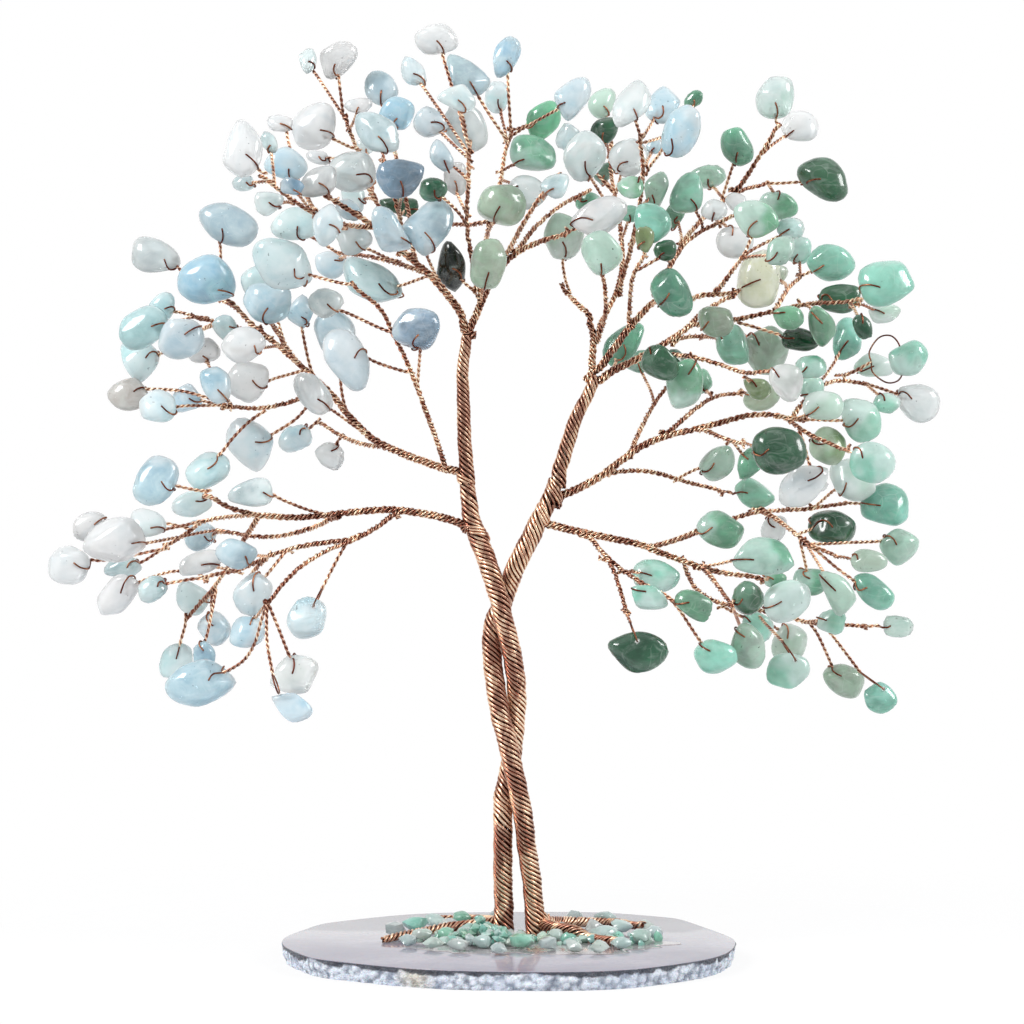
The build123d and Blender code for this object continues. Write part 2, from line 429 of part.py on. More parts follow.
limb_shares["lower_right"] = dict(
    limb=[(544, 524, 0), (570, 530, -0.02), (620, 541, -0.06), (646, 547, -0.08), (683, 561, -0.12),
          (720, 573, -0.16), (762, 579, -0.2)],
    branches=[
        [(585, 533, -0.03), (600, 552, -0.2), (616, 568, -0.32), (640, 583, -0.42), (675, 600, -0.5)],
        [(646, 547, -0.08), (682, 539, 0.1), (720, 524, 0.22), (752, 508, 0.3), (785, 512, 0.36),
         (812, 508, 0.4), (846, 503, 0.42)],
        [(762, 509, 0.31), (784, 524, 0.16), (806, 544, 0.06), (838, 556, 0.0)],
        [(683, 561, -0.12), (692, 584, 0.06), (712, 606, 0.2), (742, 606, 0.26), (780, 614, 0.3),
         (812, 624, 0.34),
         (866, 627, 0.36)],
        [(700, 567, -0.13), (716, 584, -0.36), (732, 606, -0.5)],
        [(606, 558, -0.25), (622, 592, -0.42), (626, 614, -0.5)],
    ],
    stones=[
        ("green", 886, 507, 48, 42, -40, 0.3, [(846, 503), (862, 503)]),
        ("green", 832, 527, 46, 34, -10, 0.14, [(796, 534), (812, 528)]),
        ("green", 899, 546, 36, 32, 30, 0.2, [(806, 544), (850, 541), (882, 541)]),
        ("green", 866, 561, 38, 22, -8, -0.2, [(838, 556), (848, 558)]),
        ("green", 874, 592, 44, 28, -35, 0.0, [(806, 544), (838, 570), (854, 580)]),
        ("green", 840, 597, 56, 26, -55, -0.3, [(806, 544), (818, 570), (826, 580)]),
        ("green", 810, 582, 38, 28, 0, 0.2, [(800, 540), (806, 568)]),
        ("green", 766, 557, 72, 36, -5, -0.44, [(700, 567), (728, 560)]),
        ("green", 787, 600, 46, 40, 60, -0.1, [(742, 606), (766, 604)]),
        ("green", 748, 598, 34, 30, 0, -0.46, [(729, 602), (736, 600)]),
        ("green", 757, 626, 34, 28, -30, 0.24, [(720, 606), (744, 616)]),
        ("green", 776, 580, 24, 18, 0, 0.06, [(762, 579), (768, 580)]),
        ("green", 658, 577, 46, 32, -15, -0.16, [(620, 570), (636, 571)]),
        ("green", 650, 598, 38, 26, -20, -0.6, [(640, 583), (644, 590)]),
        ("green", 696, 606, 38, 26, -30, -0.66, [(675, 600), (682, 602)]),
        ("green", 635, 652, 62, 38, 3, -0.6, [(626, 612)], "forest_swinging_stone",
         (637, 641), (630, 622), False),
        ("green", 716, 656, 42, 34, -25, -0.56, [(675, 600), (694, 628), (700, 646)]),
        ("green", 748, 646, 44, 34, -70, -0.46, [(732, 606), (742, 628)]),
        ("green", 790, 643, 40, 32, 80, 0.5, [(742, 606), (778, 626)]),
        ("green", 788, 671, 42, 36, 20, 0.1, [(750, 608)], "mint_swinging_stone",
         (795, 660), (782, 641), False),
        ("green", 844, 680, 46, 30, -30, 0.5, [(812, 624), (824, 662)]),
        ("green", 879, 697, 38, 28, -40, 0.2, [(824, 624), (848, 654)], "tail_swinging_stone",
         (883, 689), (860, 672), False),
        ("green", 832, 622, 28, 24, 0, 0.14, [(806, 622), (818, 620)]),
        ("clear", 895, 625, 34, 22, -12, 0.36, [(866, 627), (878, 626)]),
        ("green", 722, 529, 48, 34, -15, -0.06, [(655, 545), (690, 526), (700, 525)]),
        ("green", 774, 527, 34, 22, 78, 0.5, [(752, 508), (770, 512)]),
        ("clear", 812, 484, 28, 18, 0, 0.56, [(785, 512), (800, 496)]),
        ("clear", 852, 478, 44, 38, -40, 0.3, [(812, 508), (826, 492), (838, 486)]),
    ],
)


def place(across, down, depth):
    """Where a pixel lies at this depth."""
    nearness = 1 + depth / eye_distance
    left = (across - middle_pixel[0]) * pixel_size * nearness
    return Vector(left, depth, eye_height + (middle_pixel[1] - down) * pixel_size * nearness)


def depth_at(down, height):
    """How far back a pixel row meets a level plane."""
    return eye_distance * ((eye_height - height) / ((down - middle_pixel[1]) * pixel_size) - 1)


class Tube:
    """A bundle of wires along a line of pixels and depths."""

    def __init__(self, rows, width, sides, parent=None, weight=1.0):
        self.spots = [(across, down) for across, down, _ in rows]
        self.depths = [share * crown_half_depth for _, _, share in rows]
        self.width, self.sides, self.parent, self.weight = width, sides, parent, weight
        self.stone = None

    def beads(self):
        """Evenly spaced samples: pixel, radius, half depth, and the shares of the two ends."""
        reach = self.width / 2
        for i, (start, end) in enumerate(zip(self.spots, self.spots[1:])):
            length = math.dist(start, end) * pixel_size
            count = max(1, round(length / bead_spacing))
            for step in range(count + (i == len(self.spots) - 2)):
                share = step / count
                yield spot_between(start, end, share), reach, reach, i, share

    def depth_of(self, i, share):
        return self.depths[i] * (1 - share) + self.depths[min(i + 1, len(self.depths) - 1)] * share

    def push(self, i, share, amount):
        for corner, part in ((i, 1 - share), (min(i + 1, len(self.depths) - 1), share)):
            if corner == len(self.depths) - 1 and self.stone:
                self.stone.depth += amount * part * self.stone.weight
            elif corner or not self.parent:
                self.depths[corner] += amount * part * self.weight

    def follow(self):
        """Keeps the ends on the branch below and on the stone."""
        if self.parent:
            self.depths[0] = self.parent.depth_of(*self.root)
        if self.stone:
            self.depths[-1] = self.stone.depth

    def points(self):
        return [place(*spot, depth) for spot, depth in zip(self.spots, self.depths)]

    def solid(self):
        points = self.points()
        path = Polyline(*points)
        end = Plane(origin=points[0], z_dir=path % 0)
        return sweep(end * RegularPolygon(self.width / 2, self.sides), path=path, transition=Transition.RIGHT)


class Stone:
    """A tumbled chip, seen at its middle pixel with a length, a width and a slope."""

    def __init__(self, across, down, length, width, slope, share, hole=None, upright=False):
        self.spot, self.slope, self.hole, self.upright = (across, down), slope, hole, upright
        self.depth = share * crown_half_depth
        self.length, self.width = length * pixel_size, width * pixel_size
        spread = 1 + random.uniform(-thickness_spread_share, thickness_spread_share)
        self.thickness = self.width * stone_thickness_share * spread
        self.roll = 0 if hole else random.uniform(-roll_degrees, roll_degrees)
        self.weight = 1.0

    def beads(self):
        """Evenly spaced samples along the chip, at rest and at the ends of its swing."""
        radius = self.width / 2
        half_depth = self.thickness / 2
        if self.upright:
            half_depth += self.length / 2 * math.sin(math.radians(swing_degrees))
        run = max(self.length - self.width, 0) / 2
        count = max(1, round(2 * run / bead_spacing))
        turns = (-swing_degrees, 0, swing_degrees) if self.hole and not self.upright else (0,)
        for turn in turns:
            for step in range(count + 1):
                along = run * (2 * step / count - 1) / pixel_size
                across = self.spot[0] + along * math.cos(math.radians(self.slope))
                down = self.spot[1] - along * math.sin(math.radians(self.slope))
                yield turned((across, down), self.hole, turn), radius, half_depth, 0, 0

    def depth_of(self, i, share):
        return self.depth

    def push(self, i, share, amount):
        self.depth += amount * self.weight

    def frame(self):
        """Long axis along the slope in the picture, thin axis towards the eye."""
        slope = math.radians(self.slope)
        along = Vector(math.cos(slope), 0, math.sin(slope))
        flat = Plane(origin=place(*self.spot, self.depth), x_dir=along, z_dir=(0, 1, 0))
        return flat.rotated((self.roll, 0, 0))

    def points(self):
        return [place(*bead[0], self.depth) for bead in self.beads()]

    def solid(self):
        """The hull of uneven rings of points on an ellipsoid, as tumbling leaves a broken chip."""
        growth = 1 + self.depth / eye_distance
        corners = []
        for level_share, count in swinging_ring_shares if self.hole else ring_shares:
            turn = random.uniform(0, 360)
            for i in range(count):
                level = level_share + random.uniform(-level_spread_share, level_spread_share)
                stray = random.uniform(-turn_spread_share, turn_spread_share)
                angle = math.radians(turn + 360 * (i + stray) / count)
                ring = corner_reach_share * math.sqrt(1 - level ** 2)
                for side in (1, -1) if self.hole else (1,):
                    corners.append(Vector(
                        self.length / 2 * growth * ring * math.cos(angle),
                        self.width / 2 * growth * ring * math.sin(angle),
                        self.thickness / 2 * growth * level * side,
                    ))
        frame = self.frame()
        return ConvexPolyhedron([frame.from_local_coords(corner) for corner in corners])


def turned(spot, hub, degrees):
    """A pixel turned about another one."""
    if not degrees:
        return spot
    angle = math.radians(degrees)
    across, down = spot[0] - hub[0], spot[1] - hub[1]
    return (
        hub[0] + across * math.cos(angle) - down * math.sin(angle),
        hub[1] + across * math.sin(angle) + down * math.cos(angle),
    )


def spot_between(start, end, share):
    return start[0] + (end[0] - start[0]) * share, start[1] + (end[1] - start[1]) * share


def nearest_root(spot, tubes):
    """The branch that passes closest to a pixel, the run of it, and the share along that run."""
    best = None
    for tube in tubes:
        for i, (start, end) in enumerate(zip(tube.spots, tube.spots[1:])):
            run = (end[0] - start[0], end[1] - start[1])
            along = (spot[0] - start[0]) * run[0] + (spot[1] - start[1]) * run[1]
            share = along / (run[0] ** 2 + run[1] ** 2)
            share = min(max(share, 0), last_root_share)
            gap = math.dist(spot, spot_between(start, end, share))
            if best is None or gap < best[0]:
                best = gap, tube, i, share
    return best[1:]


def grow(rows, width, sides, carriers, weight):
    """A tube that starts on the nearest of its carriers."""
    parent, i, share = nearest_root(rows[0][:2], carriers)
    tube = Tube(rows, width, sides, parent, weight)
    tube.root = i, share
    tube.spots[0] = spot_between(parent.spots[i], parent.spots[i + 1], share)
    tube.follow()
    return tube


def touching(one, other, margin):
    """Whether two pieces come within a margin, from their beads in space."""
    reach = one.reach + other.reach + margin
    if (one.hub - other.hub).length > one.span + other.span + reach:
        return False
    return any((a - b).length < reach for a in one.places for b in other.places)


def locate(piece, reach):
    piece.places = [place(*spot, piece.depth_of(i, share)) for spot, _, _, i, share in piece.beads()]
    piece.hub = piece.places[len(piece.places) // 2]
    piece.span = max((spot - piece.hub).length for spot in piece.places)
    piece.reach = reach


def find_crossings(pieces):
    """Pairs of beads that cover each other in the picture, so that one lies in front."""
    cells = {}
    crossings = []
    cell_size = 5 * bead_spacing / pixel_size
    samples = []
    for piece in pieces:
        for spot, reach, half_depth, i, share in piece.beads():
            free = isinstance(piece, Tube) and math.dist(spot, piece.spots[0]) * pixel_size < branch_width * 2
            samples.append((piece, spot, reach, half_depth, i, share, free))
    for sample in samples:
        column, row = int(sample[1][0] // cell_size), int(sample[1][1] // cell_size)
        for key in [(column + i, row + j) for i in (-1, 0, 1) for j in (-1, 0, 1)]:
            for other in cells.get(key, []):
                if may_cross(sample, other):
                    crossings.append((sample, other))
        cells.setdefault((column, row), []).append(sample)
    return crossings


def may_cross(sample, other):
    one, two = sample[0], other[0]
    tubes = isinstance(one, Tube) and isinstance(two, Tube)
    if one is two or (tubes and (sample[6] or other[6] or one.parent is two or two.parent is one)):
        return False
    if getattr(one, "stone", None) is two or getattr(two, "stone", None) is one:
        return False
    clear = wire_clearance if tubes else stone_clearance
    return math.dist(sample[1], other[1]) * pixel_size < sample[2] + other[2] + clear


def settle(pieces):
    """Slides crossing pieces apart along the line of sight, so that none runs through another."""
    crossings = find_crossings(pieces)
    order = [1 if b[0].depth_of(*b[4:6]) >= a[0].depth_of(*a[4:6]) else -1 for a, b in crossings]
    for lap in range(settling_rounds):
        worst, where = 0, None
        for (a, b), side in zip(crossings, order):
            tubes = isinstance(a[0], Tube) and isinstance(b[0], Tube)
            clear = wire_clearance if tubes else stone_clearance
            overlap = math.dist(a[1], b[1]) * pixel_size / (a[2] + b[2] + clear)
            need = (a[3] + b[3] + clear) * math.sqrt(max(1 - overlap ** 2, 0))
            short = need - side * (b[0].depth_of(*b[4:6]) - a[0].depth_of(*a[4:6]))
            if short > 0:
                a[0].push(a[4], a[5], -side * short / 2)
                b[0].push(b[4], b[5], side * short / 2)
                if short > worst:
                    worst, where = short, a[1]
        for piece in pieces:
            if isinstance(piece, Tube):
                piece.follow()
    print("settled in depth:", len(crossings), "crossings")
    print("largest shortfall", round(worst, 2), "at pixel", where)


def carve(piece, carriers):
    """What is left of a piece beside the pieces that carry or crowd it."""
    if not carriers:
        return piece
    rest = (piece - carriers).solids()
    largest = max(rest, key=lambda part: part.volume)
    if largest.volume < least_kept_share * piece.volume:
        middle = piece.center()
        near = 1 + middle.Y / eye_distance
        across = middle_pixel[0] + middle.X / near / pixel_size
        down = middle_pixel[1] + (eye_height - middle.Z) / near / pixel_size
        print("  much carved away:", round(largest.volume / piece.volume, 2), "at pixel", round(across), round(down))
    return largest


def twist_rows(side):
    """The pair wound round each other: side is 1 for the left strand and -1 for the right."""
    radius = (strand_width + strand_gap) / 2
    for across, down, turn in twist_pixels:
        angle = math.radians(turn)
        yield (
            across + side * radius * math.cos(angle) / pixel_size,
            down,
            side * radius * math.sin(angle) / crown_half_depth,
        )


def foot_row(across, share):
    """The end of a strand on the slice."""
    nearness = 1 + share * crown_half_depth / eye_distance
    down = middle_pixel[1] + (eye_height - slice_thickness + foot_depth) / (pixel_size * nearness)
    return across, down, share


def trunk():
    """Two strands wound round each other, each going on thinner above its lowest limbs."""
    left_rows = [foot_row(*left_foot), *left_foot_shares, *twist_rows(1), *left_strand_shares]
    right_rows = [foot_row(*right_foot), *right_foot_shares, *twist_rows(-1), *right_strand_shares]
    tubes = {
        "left_trunk_strand": Tube(left_rows, strand_width, strand_sides, weight=0),
        "right_trunk_strand": Tube(right_rows, strand_width, strand_sides, weight=0),
        "left_upper_trunk": Tube(left_upper_shares, upper_strand_width, strand_sides, weight=0),
        "right_upper_trunk": Tube(right_upper_shares, upper_strand_width, strand_sides, weight=0),
    }
    return tubes


def agate_slice():
    """A slab of uneven outline."""
    outline = []
    for across, down in slice_far_pixels + slice_near_pixels:
        outline.append(place(across, down, depth_at(down, slice_thickness)))
    top = Wire.make_polygon(outline, close=True)
    return extrude(Face(top), amount=-slice_thickness, dir=(0, 0, 1))


def glue_patch():
    """A low puddle of set glue round the trunk's feet."""
    middle = (place(*foot_row(*left_foot)) + place(*foot_row(*right_foot))) / 2
    puddle = RegularPolygon(glue_width / 2, glue_sides)
    return Pos(middle.X, middle.Y, slice_thickness) * extrude(puddle, amount=glue_height)


def root_tubes():
    tubes = {}
    for name, rows in root_shares.items():
        lifted = []
        for across, down, lift in rows:
            depth = depth_at(down, slice_thickness + lift * root_width)
            lifted.append((across, down, depth / crown_half_depth))
        tubes[name] = Tube(lifted, root_width, limb_sides)
    return tubes


def pile_stone(across, down, length, height, lift):
    """A small stone that lies on the slice."""
    depth = depth_at(down + lift, slice_thickness + pile_gap)
    stone = Stone(across, down, length, height / corner_reach_share, 0, depth / crown_half_depth)
    stone.thickness = pile_thickness_share * stone.length
    stone.roll = 0
    return stone


def clean_rows(rows):
    """Leaves out points that crowd the one before, which would fold a bend into itself."""
    kept = [rows[0]]
    for row in rows[1:-1]:
        if min(math.dist(row[:2], kept[-1][:2]), math.dist(row[:2], rows[-1][:2])) * pixel_size > twig_step:
            kept.append(row)
    return kept + [rows[-1]]


class Swing:
    """A drilled stone that hangs on the straight side of a three-cornered wire loop."""

    def __init__(self, stone, apex):
        self.stone, self.apex = stone, apex

    def centre(self):
        return place(*self.stone.hole, self.stone.depth)

    def axis(self):
        """Through the stone from front to back, or upright where the loop lies beside it."""
        up = (place(*self.apex, self.stone.depth) - self.centre()).normalized()
        return up.cross(Vector(0, 1, 0)) if self.stone.upright else Vector(0, 1, 0)

    def drilled(self, hull):
        plane = Plane(origin=self.centre(), z_dir=self.axis())
        return hull - plane * Cylinder(bore_width / 2, 2 * self.stone.length)

    def loop(self):
        chord = self.stone.width * corner_reach_share if self.stone.upright else self.stone.thickness
        reach = chord / 2 + loop_margin
        centre, axis = self.centre(), self.axis()
        apex = place(*self.apex, self.stone.depth)
        pin = Plane(origin=centre, z_dir=axis) * Cylinder(wire_width / 2, 2 * reach)
        legs = []
        for side in (-1, 1):
            leg = Line(apex, centre + axis * side * reach)
            end = Plane(origin=leg @ 0, z_dir=leg % 0)
            legs.append(sweep(end * RegularPolygon(wire_width / 2, loop_sides), path=leg))
        return [pin, *legs]


def plan():
    """Every piece of wire and stone, slid clear of the others in depth."""
    trunk_tubes = trunk()
    order = list(trunk_tubes.items())
    carriers = list(trunk_tubes.values())
    stones, twigs, swings = [], [], {}
    limbs = []
    for name, shares in limb_shares.items():
        limb = grow(shares["limb"], limb_width, limb_sides, carriers, limb_give_share)
        limbs.append((name + "_branches", limb))
        grown = [limb]
        for rows in shares["branches"]:
            branch = grow(rows, branch_width, branch_sides, grown, branch_give_share)
            grown.append(branch)
            limbs.append((name + "_branches", branch))
        for colour, across, down, length, width, slope, share, route, *hanging in shares["stones"]:
            node = name + "_" + colour + "_stones"
            stone = Stone(across, down, length, width, slope, share)
            end = seat_spot(stone, route[-1])
            if hanging:
                node, hole, end, upright = hanging
                stone = Stone(across, down, length, width, slope, share, hole, upright)
                swings[node] = Swing(stone, end)
            rows = clean_rows([(*spot, share) for spot in [*route, end]])
            twig = grow(rows, twig_width, twig_sides, grown, 1)
            spread_depths(twig, stone)
            twig.stone = stone
            stones.append((node, stone))
            twigs.append((name + "_twigs", twig, swings.get(node)))
    wires = [*carriers, *[limb for _, limb in limbs]]
    settle([*wires, *[stone for _, stone in stones], *[twig for _, twig, _ in twigs]])
    return order, limbs, stones, twigs, swings


def seat_spot(stone, spot):
    """Where a twig ends inside its stone, so that cutting it back leaves it flush."""
    gap = math.dist(spot, stone.spot)
    reach = min(seat_depth_share * stone.width / pixel_size, seat_run_share * gap)
    return spot_between(stone.spot, spot, reach / gap)


def spread_depths(twig, stone):
    """Takes a twig evenly from the branch's depth to the stone's."""
    runs = [math.dist(a, b) for a, b in zip(twig.spots, twig.spots[1:])]
    start = twig.depths[0]
    done = 0
    for i, run in enumerate(runs):
        done += run
        twig.depths[i + 1] = start + (stone.depth - start) * done / sum(runs)


def build():
    os.makedirs("parts", exist_ok=True)
    order, limbs, stones, twigs, swings = plan()
    nodes = {}
    made = []

    def add(node, piece, solid, reach):
        locate(piece, reach)
        near = [other for other_piece, other in made if touching(piece, other_piece, wire_clearance)]
        solid = carve(solid, near)
        made.append((piece, solid))
        nodes.setdefault(node, []).append(solid)

    slab = agate_slice()
    nodes["agate_slice"] = [slab]
    for node, tube in order:
        add(node, tube, carve(tube.solid(), [slab]), tube.width / 2)
    for node, tube in root_tubes().items():
        add(node, tube, carve(tube.solid(), [slab]), tube.width / 2)
    feet = [solid for _, solid in made]
    glue = carve(glue_patch(), feet)
    nodes["glue_patch"] = [glue]
    for colour, *shape in pile_pixels:
        stone = pile_stone(*shape)
        solid = carve(stone.solid(), [glue])
        add("base_" + colour + "_stones", stone, solid, max(stone.width, stone.thickness) / 2)
    for node, tube in limbs:
        add(node, tube, tube.solid(), tube.width / 2)
    for node, stone in stones:
        solid = stone.solid()
        if stone.hole:
            solid = swings[node].drilled(solid).solid()
        add(node, stone, solid, max(stone.width, stone.thickness) / 2)
    for node, tube, swing in twigs:
        solid = tube.solid()
        if swing:
            solid = solid.fuse(*swing.loop()).solid()
        add(node, tube, solid, tube.width / 2)
    total = 0
    for node, solids in nodes.items():
        export_step(Compound(solids), "parts/" + node + ".step")
        total += len(solids)
    for node, swing in swings.items():
        centre, axis = swing.centre(), swing.axis()
        print(node, "hinge at", [round(v, 3) for v in centre], "axis", [round(v, 4) for v in axis])
    print(len(nodes), "nodes", total, "solids")


build()
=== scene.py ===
import heapq
import json
import math
import random

import bmesh
import bpy
import numpy as np
from mathutils import Matrix, Vector, bvhtree, kdtree, noise


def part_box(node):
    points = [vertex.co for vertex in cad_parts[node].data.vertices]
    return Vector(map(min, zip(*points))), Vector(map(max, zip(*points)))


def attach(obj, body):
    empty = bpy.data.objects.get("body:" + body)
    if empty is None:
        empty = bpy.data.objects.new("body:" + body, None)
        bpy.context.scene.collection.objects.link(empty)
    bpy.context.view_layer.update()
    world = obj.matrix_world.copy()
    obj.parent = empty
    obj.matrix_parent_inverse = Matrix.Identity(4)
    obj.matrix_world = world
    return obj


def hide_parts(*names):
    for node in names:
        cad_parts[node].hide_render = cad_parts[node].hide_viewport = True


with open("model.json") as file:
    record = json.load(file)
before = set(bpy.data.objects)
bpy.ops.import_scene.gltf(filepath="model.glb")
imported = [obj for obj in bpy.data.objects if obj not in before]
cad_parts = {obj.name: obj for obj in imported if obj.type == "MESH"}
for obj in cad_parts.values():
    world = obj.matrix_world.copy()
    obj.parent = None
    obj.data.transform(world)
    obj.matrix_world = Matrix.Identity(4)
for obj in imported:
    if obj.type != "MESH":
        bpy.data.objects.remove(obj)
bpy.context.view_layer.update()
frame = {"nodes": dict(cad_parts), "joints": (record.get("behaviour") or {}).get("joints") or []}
random.seed(23)

millimetre = 0.001

view = {
    "place": (0.000525, -0.572, 0.0781),
    "lens": 114.9,
    "nearest": 0.01,
    "skyFill": 0.73,
    "darkFront": (-0.45, -0.9),  # of a ray's direction, the y where the darker front begins and is full
    "frontDepth": 0.6,
    "lamps": {"keyLamp": ((-0.40, -0.30, 0.42), 2.3), "fillLamp": ((0.46, -0.16, 0.34), 1.3)},
    "lampSize": 0.2,
    "lampAim": (0, 0, 0.08),
    "floorRadius": 0.3,
    "floorFade": (0.085, 0.17),
    "floorColour": (0.93, 0.93, 0.94),
    "floorGlow": 0.88,  # how much of the floor's own shading the camera doesn't see
}


def addObject(name, data):
    thing = bpy.data.objects.new(name, data)
    bpy.context.scene.collection.objects.link(thing)
    return thing


def setCamera():
    lensData = bpy.data.cameras.new("viewCamera")
    lensData.lens = view["lens"]
    lensData.clip_start = view["nearest"]
    eye = addObject("viewCamera", lensData)
    eye.location = view["place"]
    eye.rotation_euler = (math.pi / 2, 0, 0)
    bpy.context.scene.camera = eye


def softLamp(name, place, watts):
    lampData = bpy.data.lights.new(name, "AREA")
    lampData.energy = watts
    lampData.size = view["lampSize"]
    lamp = addObject(name, lampData)
    lamp.location = place
    aim = Vector(view["lampAim"]) - Vector(place)
    lamp.rotation_euler = aim.to_track_quat("-Z", "Y").to_euler()


class Value:
    # a number in a finish: sums on it add Math nodes
    def __init__(self, web, socket):
        self.web = web
        self.socket = socket

    def sum(self, operation, first, second):
        return self.web.add("ShaderNodeMath", {"operation": operation}, {0: first, 1: second})

    def __add__(self, other):
        return self.sum("ADD", self, other)

    def __sub__(self, other):
        return self.sum("SUBTRACT", self, other)

    def __rsub__(self, other):
        return self.sum("SUBTRACT", other, self)

    def __mul__(self, other):
        return self.sum("MULTIPLY", self, other)

    __radd__ = __add__
    __rmul__ = __mul__


class Web:
    # the nodes of one node tree
    def __init__(self, tree):
        self.tree = tree
        self.nodes = tree.nodes

    def feed(self, socket, value):
        if isinstance(value, Value):
            self.tree.links.new(value.socket, socket)
        else:
            socket.default_value = value

    def add(self, kind, settings=None, inputs=None, output=0):
        node = self.nodes.new(kind)
        for key, value in (settings or {}).items():
            setattr(node, key, value)
        for socket, value in (inputs or {}).items():
            self.feed(node.inputs[socket], value)
        return Value(self, node.outputs[output])

    def ranged(self, value, low, high, bottom=0, top=1):
        return self.add(
            "ShaderNodeMapRange",
            inputs={"Value": value, "From Min": low, "From Max": high, "To Min": bottom, "To Max": top},
        )


class Finish(Web):
    def __init__(self, name):
        self.material = bpy.data.materials.new(name)
        self.material.use_nodes = True
        super().__init__(self.material.node_tree)
        self.shader = self.nodes["Principled BSDF"]

    def surface(self, inputs):
        for name, value in inputs.items():
            self.feed(self.shader.inputs[name], value)

    def place(self):
        return self.add("ShaderNodeTexCoord", output="Object")

    def stretched(self, scale, turn=(0, 0, 0)):
        inputs = {"Vector": self.place(), "Scale": scale, "Rotation": turn}
        return self.add("ShaderNodeMapping", inputs=inputs)

    def clouds(self, scale, detail=3, roughness=0.5, distortion=0, where=None):
        inputs = {"Vector": where or self.place(), "Scale": scale, "Detail": detail}
        inputs.update({"Roughness": roughness, "Distortion": distortion})
        return self.add("ShaderNodeTexNoise", inputs=inputs)

    def patches(self, clouds, *limits):
        return self.ranged(self.clouds(*clouds), *limits)

    def mixed(self, share, first, second, blend="MIX"):
        return self.add(
            "ShaderNodeMix",
            {"data_type": "RGBA", "blend_type": blend},
            {"Factor": share, "A": first, "B": second},
            output="Result",
        )

    def attribute(self, name, output="Fac"):
        return self.add("ShaderNodeAttribute", {"attribute_name": name}, output=output)

    def bump(self, height, strength, distance):
        inputs = {"Height": height, "Strength": strength, "Distance": distance}
        return self.add("ShaderNodeBump", inputs=inputs)


def linear(shade):
    # the light that a colour on the screen stands for
    return tuple(c / 12.92 if c <= 0.04045 else ((c + 0.055) / 1.055) ** 2.4 for c in shade)


def paint(shade):
    return (*linear(shade), 1)


# each row: a noise's size, detail, roughness and distortion, and the range of it that shows
stoneClouds = {
    "haze": ((330, 4, 0.6, 0.6), 0.38, 0.66),
    "deep": ((210, 3, 0.5, 0.4), 0.5, 0.66, 0, 0.5),
    "crackZone": ((190, 2), 0.5, 0.62),
    "speck": ((1500, 2), 0.68, 0.74),
    "speckZone": ((160, 2), 0.48, 0.6),
    "roughness": ((700, 4, 0.7), 0.3, 0.75, 0.07, 0.3),
}
stoneLook = {
    # how strongly a painted glow whitens a chip toward its far tips
    "edge": (0.62, 1.0, 0, 0.34),
    "milk": 0.85,
    "haze": 0.8,
    "glassyLoss": 0.3,
    "deep": 0.5,
    "streaks": ((220, 900, 520), (0.4, 0.7, 0.3)),
    "streakRange": (0.5, 0.72, 0, 0.5),
    "vein": 0.4,
    "cracks": ((1, 1.6, 0.8), (0.5, 0.2, 0.9)),
    "crackScale": 330.0,
    "crackWidth": 0.03,
    "crack": 0.2,
    "speck": 0.7,
    "pits": (900, 4, 0.6),
    "bump": (0.07, 0.0002),
    "sockets": {
        "Subsurface Weight": 0.45,
        "Subsurface Scale": 0.0025,
        "Subsurface Radius": (1.0, 1.0, 1.0),
        "Coat Weight": 0.5,
        "Coat Roughness": 0.03,
        "IOR": 1.54,
    },
}


def stoneFinish(name, clearness, veinShade, speckShade, milkShade, deepShade):
    look = Finish(name)
    tint = look.attribute("tint", "Color")
    glassy = look.attribute("glassy")
    edge = look.ranged(look.attribute("edge"), *stoneLook["edge"])
    haze = look.patches(*stoneClouds["haze"])
    streaks = look.clouds(1, 5, 0.65, 1.2, look.stretched(*stoneLook["streaks"]))
    milk = look.mixed(stoneLook["milk"], tint, paint(milkShade), "OVERLAY")
    shade = look.mixed(haze * (stoneLook["haze"] - stoneLook["glassyLoss"] * glassy), tint, milk)
    depths = look.mixed(stoneLook["deep"], tint, paint(deepShade), "MULTIPLY")
    shade = look.mixed(look.patches(*stoneClouds["deep"]), shade, depths)
    # painted glow: the tint turns milky toward the chip's far tips, where light would shine through thin parts
    shade = look.mixed(edge, shade, milk)
    veins = look.mixed(stoneLook["vein"], tint, paint(veinShade))
    shade = look.mixed(look.ranged(streaks, *stoneLook["streakRange"]), shade, veins)
    cracks = look.add(
        "ShaderNodeTexVoronoi",
        {"feature": "DISTANCE_TO_EDGE"},
        {"Vector": look.stretched(*stoneLook["cracks"]), "Scale": stoneLook["crackScale"]},
        output="Distance",
    )
    crackLine = look.ranged(cracks, 0, stoneLook["crackWidth"], 1, 0) * look.patches(*stoneClouds["crackZone"])
    shade = look.mixed(crackLine * stoneLook["crack"], shade, paint(veinShade))
    specks = look.patches(*stoneClouds["speck"]) * look.patches(*stoneClouds["speckZone"])
    shade = look.mixed(specks * stoneLook["speck"], shade, paint(speckShade))
    look.surface({
        "Base Color": shade,
        "Roughness": look.patches(*stoneClouds["roughness"]),
        "Normal": look.bump(look.clouds(*stoneLook["pits"]), *stoneLook["bump"]),
        "Transmission Weight": clearness,
        **stoneLook["sockets"],
    })
    return look.material


# how clear each kind is, and its shades of vein, speck, milk and depth
stoneKinds = {
    "blue": (0.42, (0.97, 0.98, 0.99), (0.16, 0.17, 0.2), (0.93, 0.96, 0.98), (0.62, 0.78, 0.86)),
    "clear": (0.46, (0.98, 0.99, 0.99), (0.35, 0.36, 0.38), (0.96, 0.98, 0.98), (0.74, 0.82, 0.86)),
    "green": (0.32, (0.90, 0.96, 0.92), (0.1, 0.14, 0.1), (0.80, 0.92, 0.86), (0.30, 0.52, 0.40)),
}
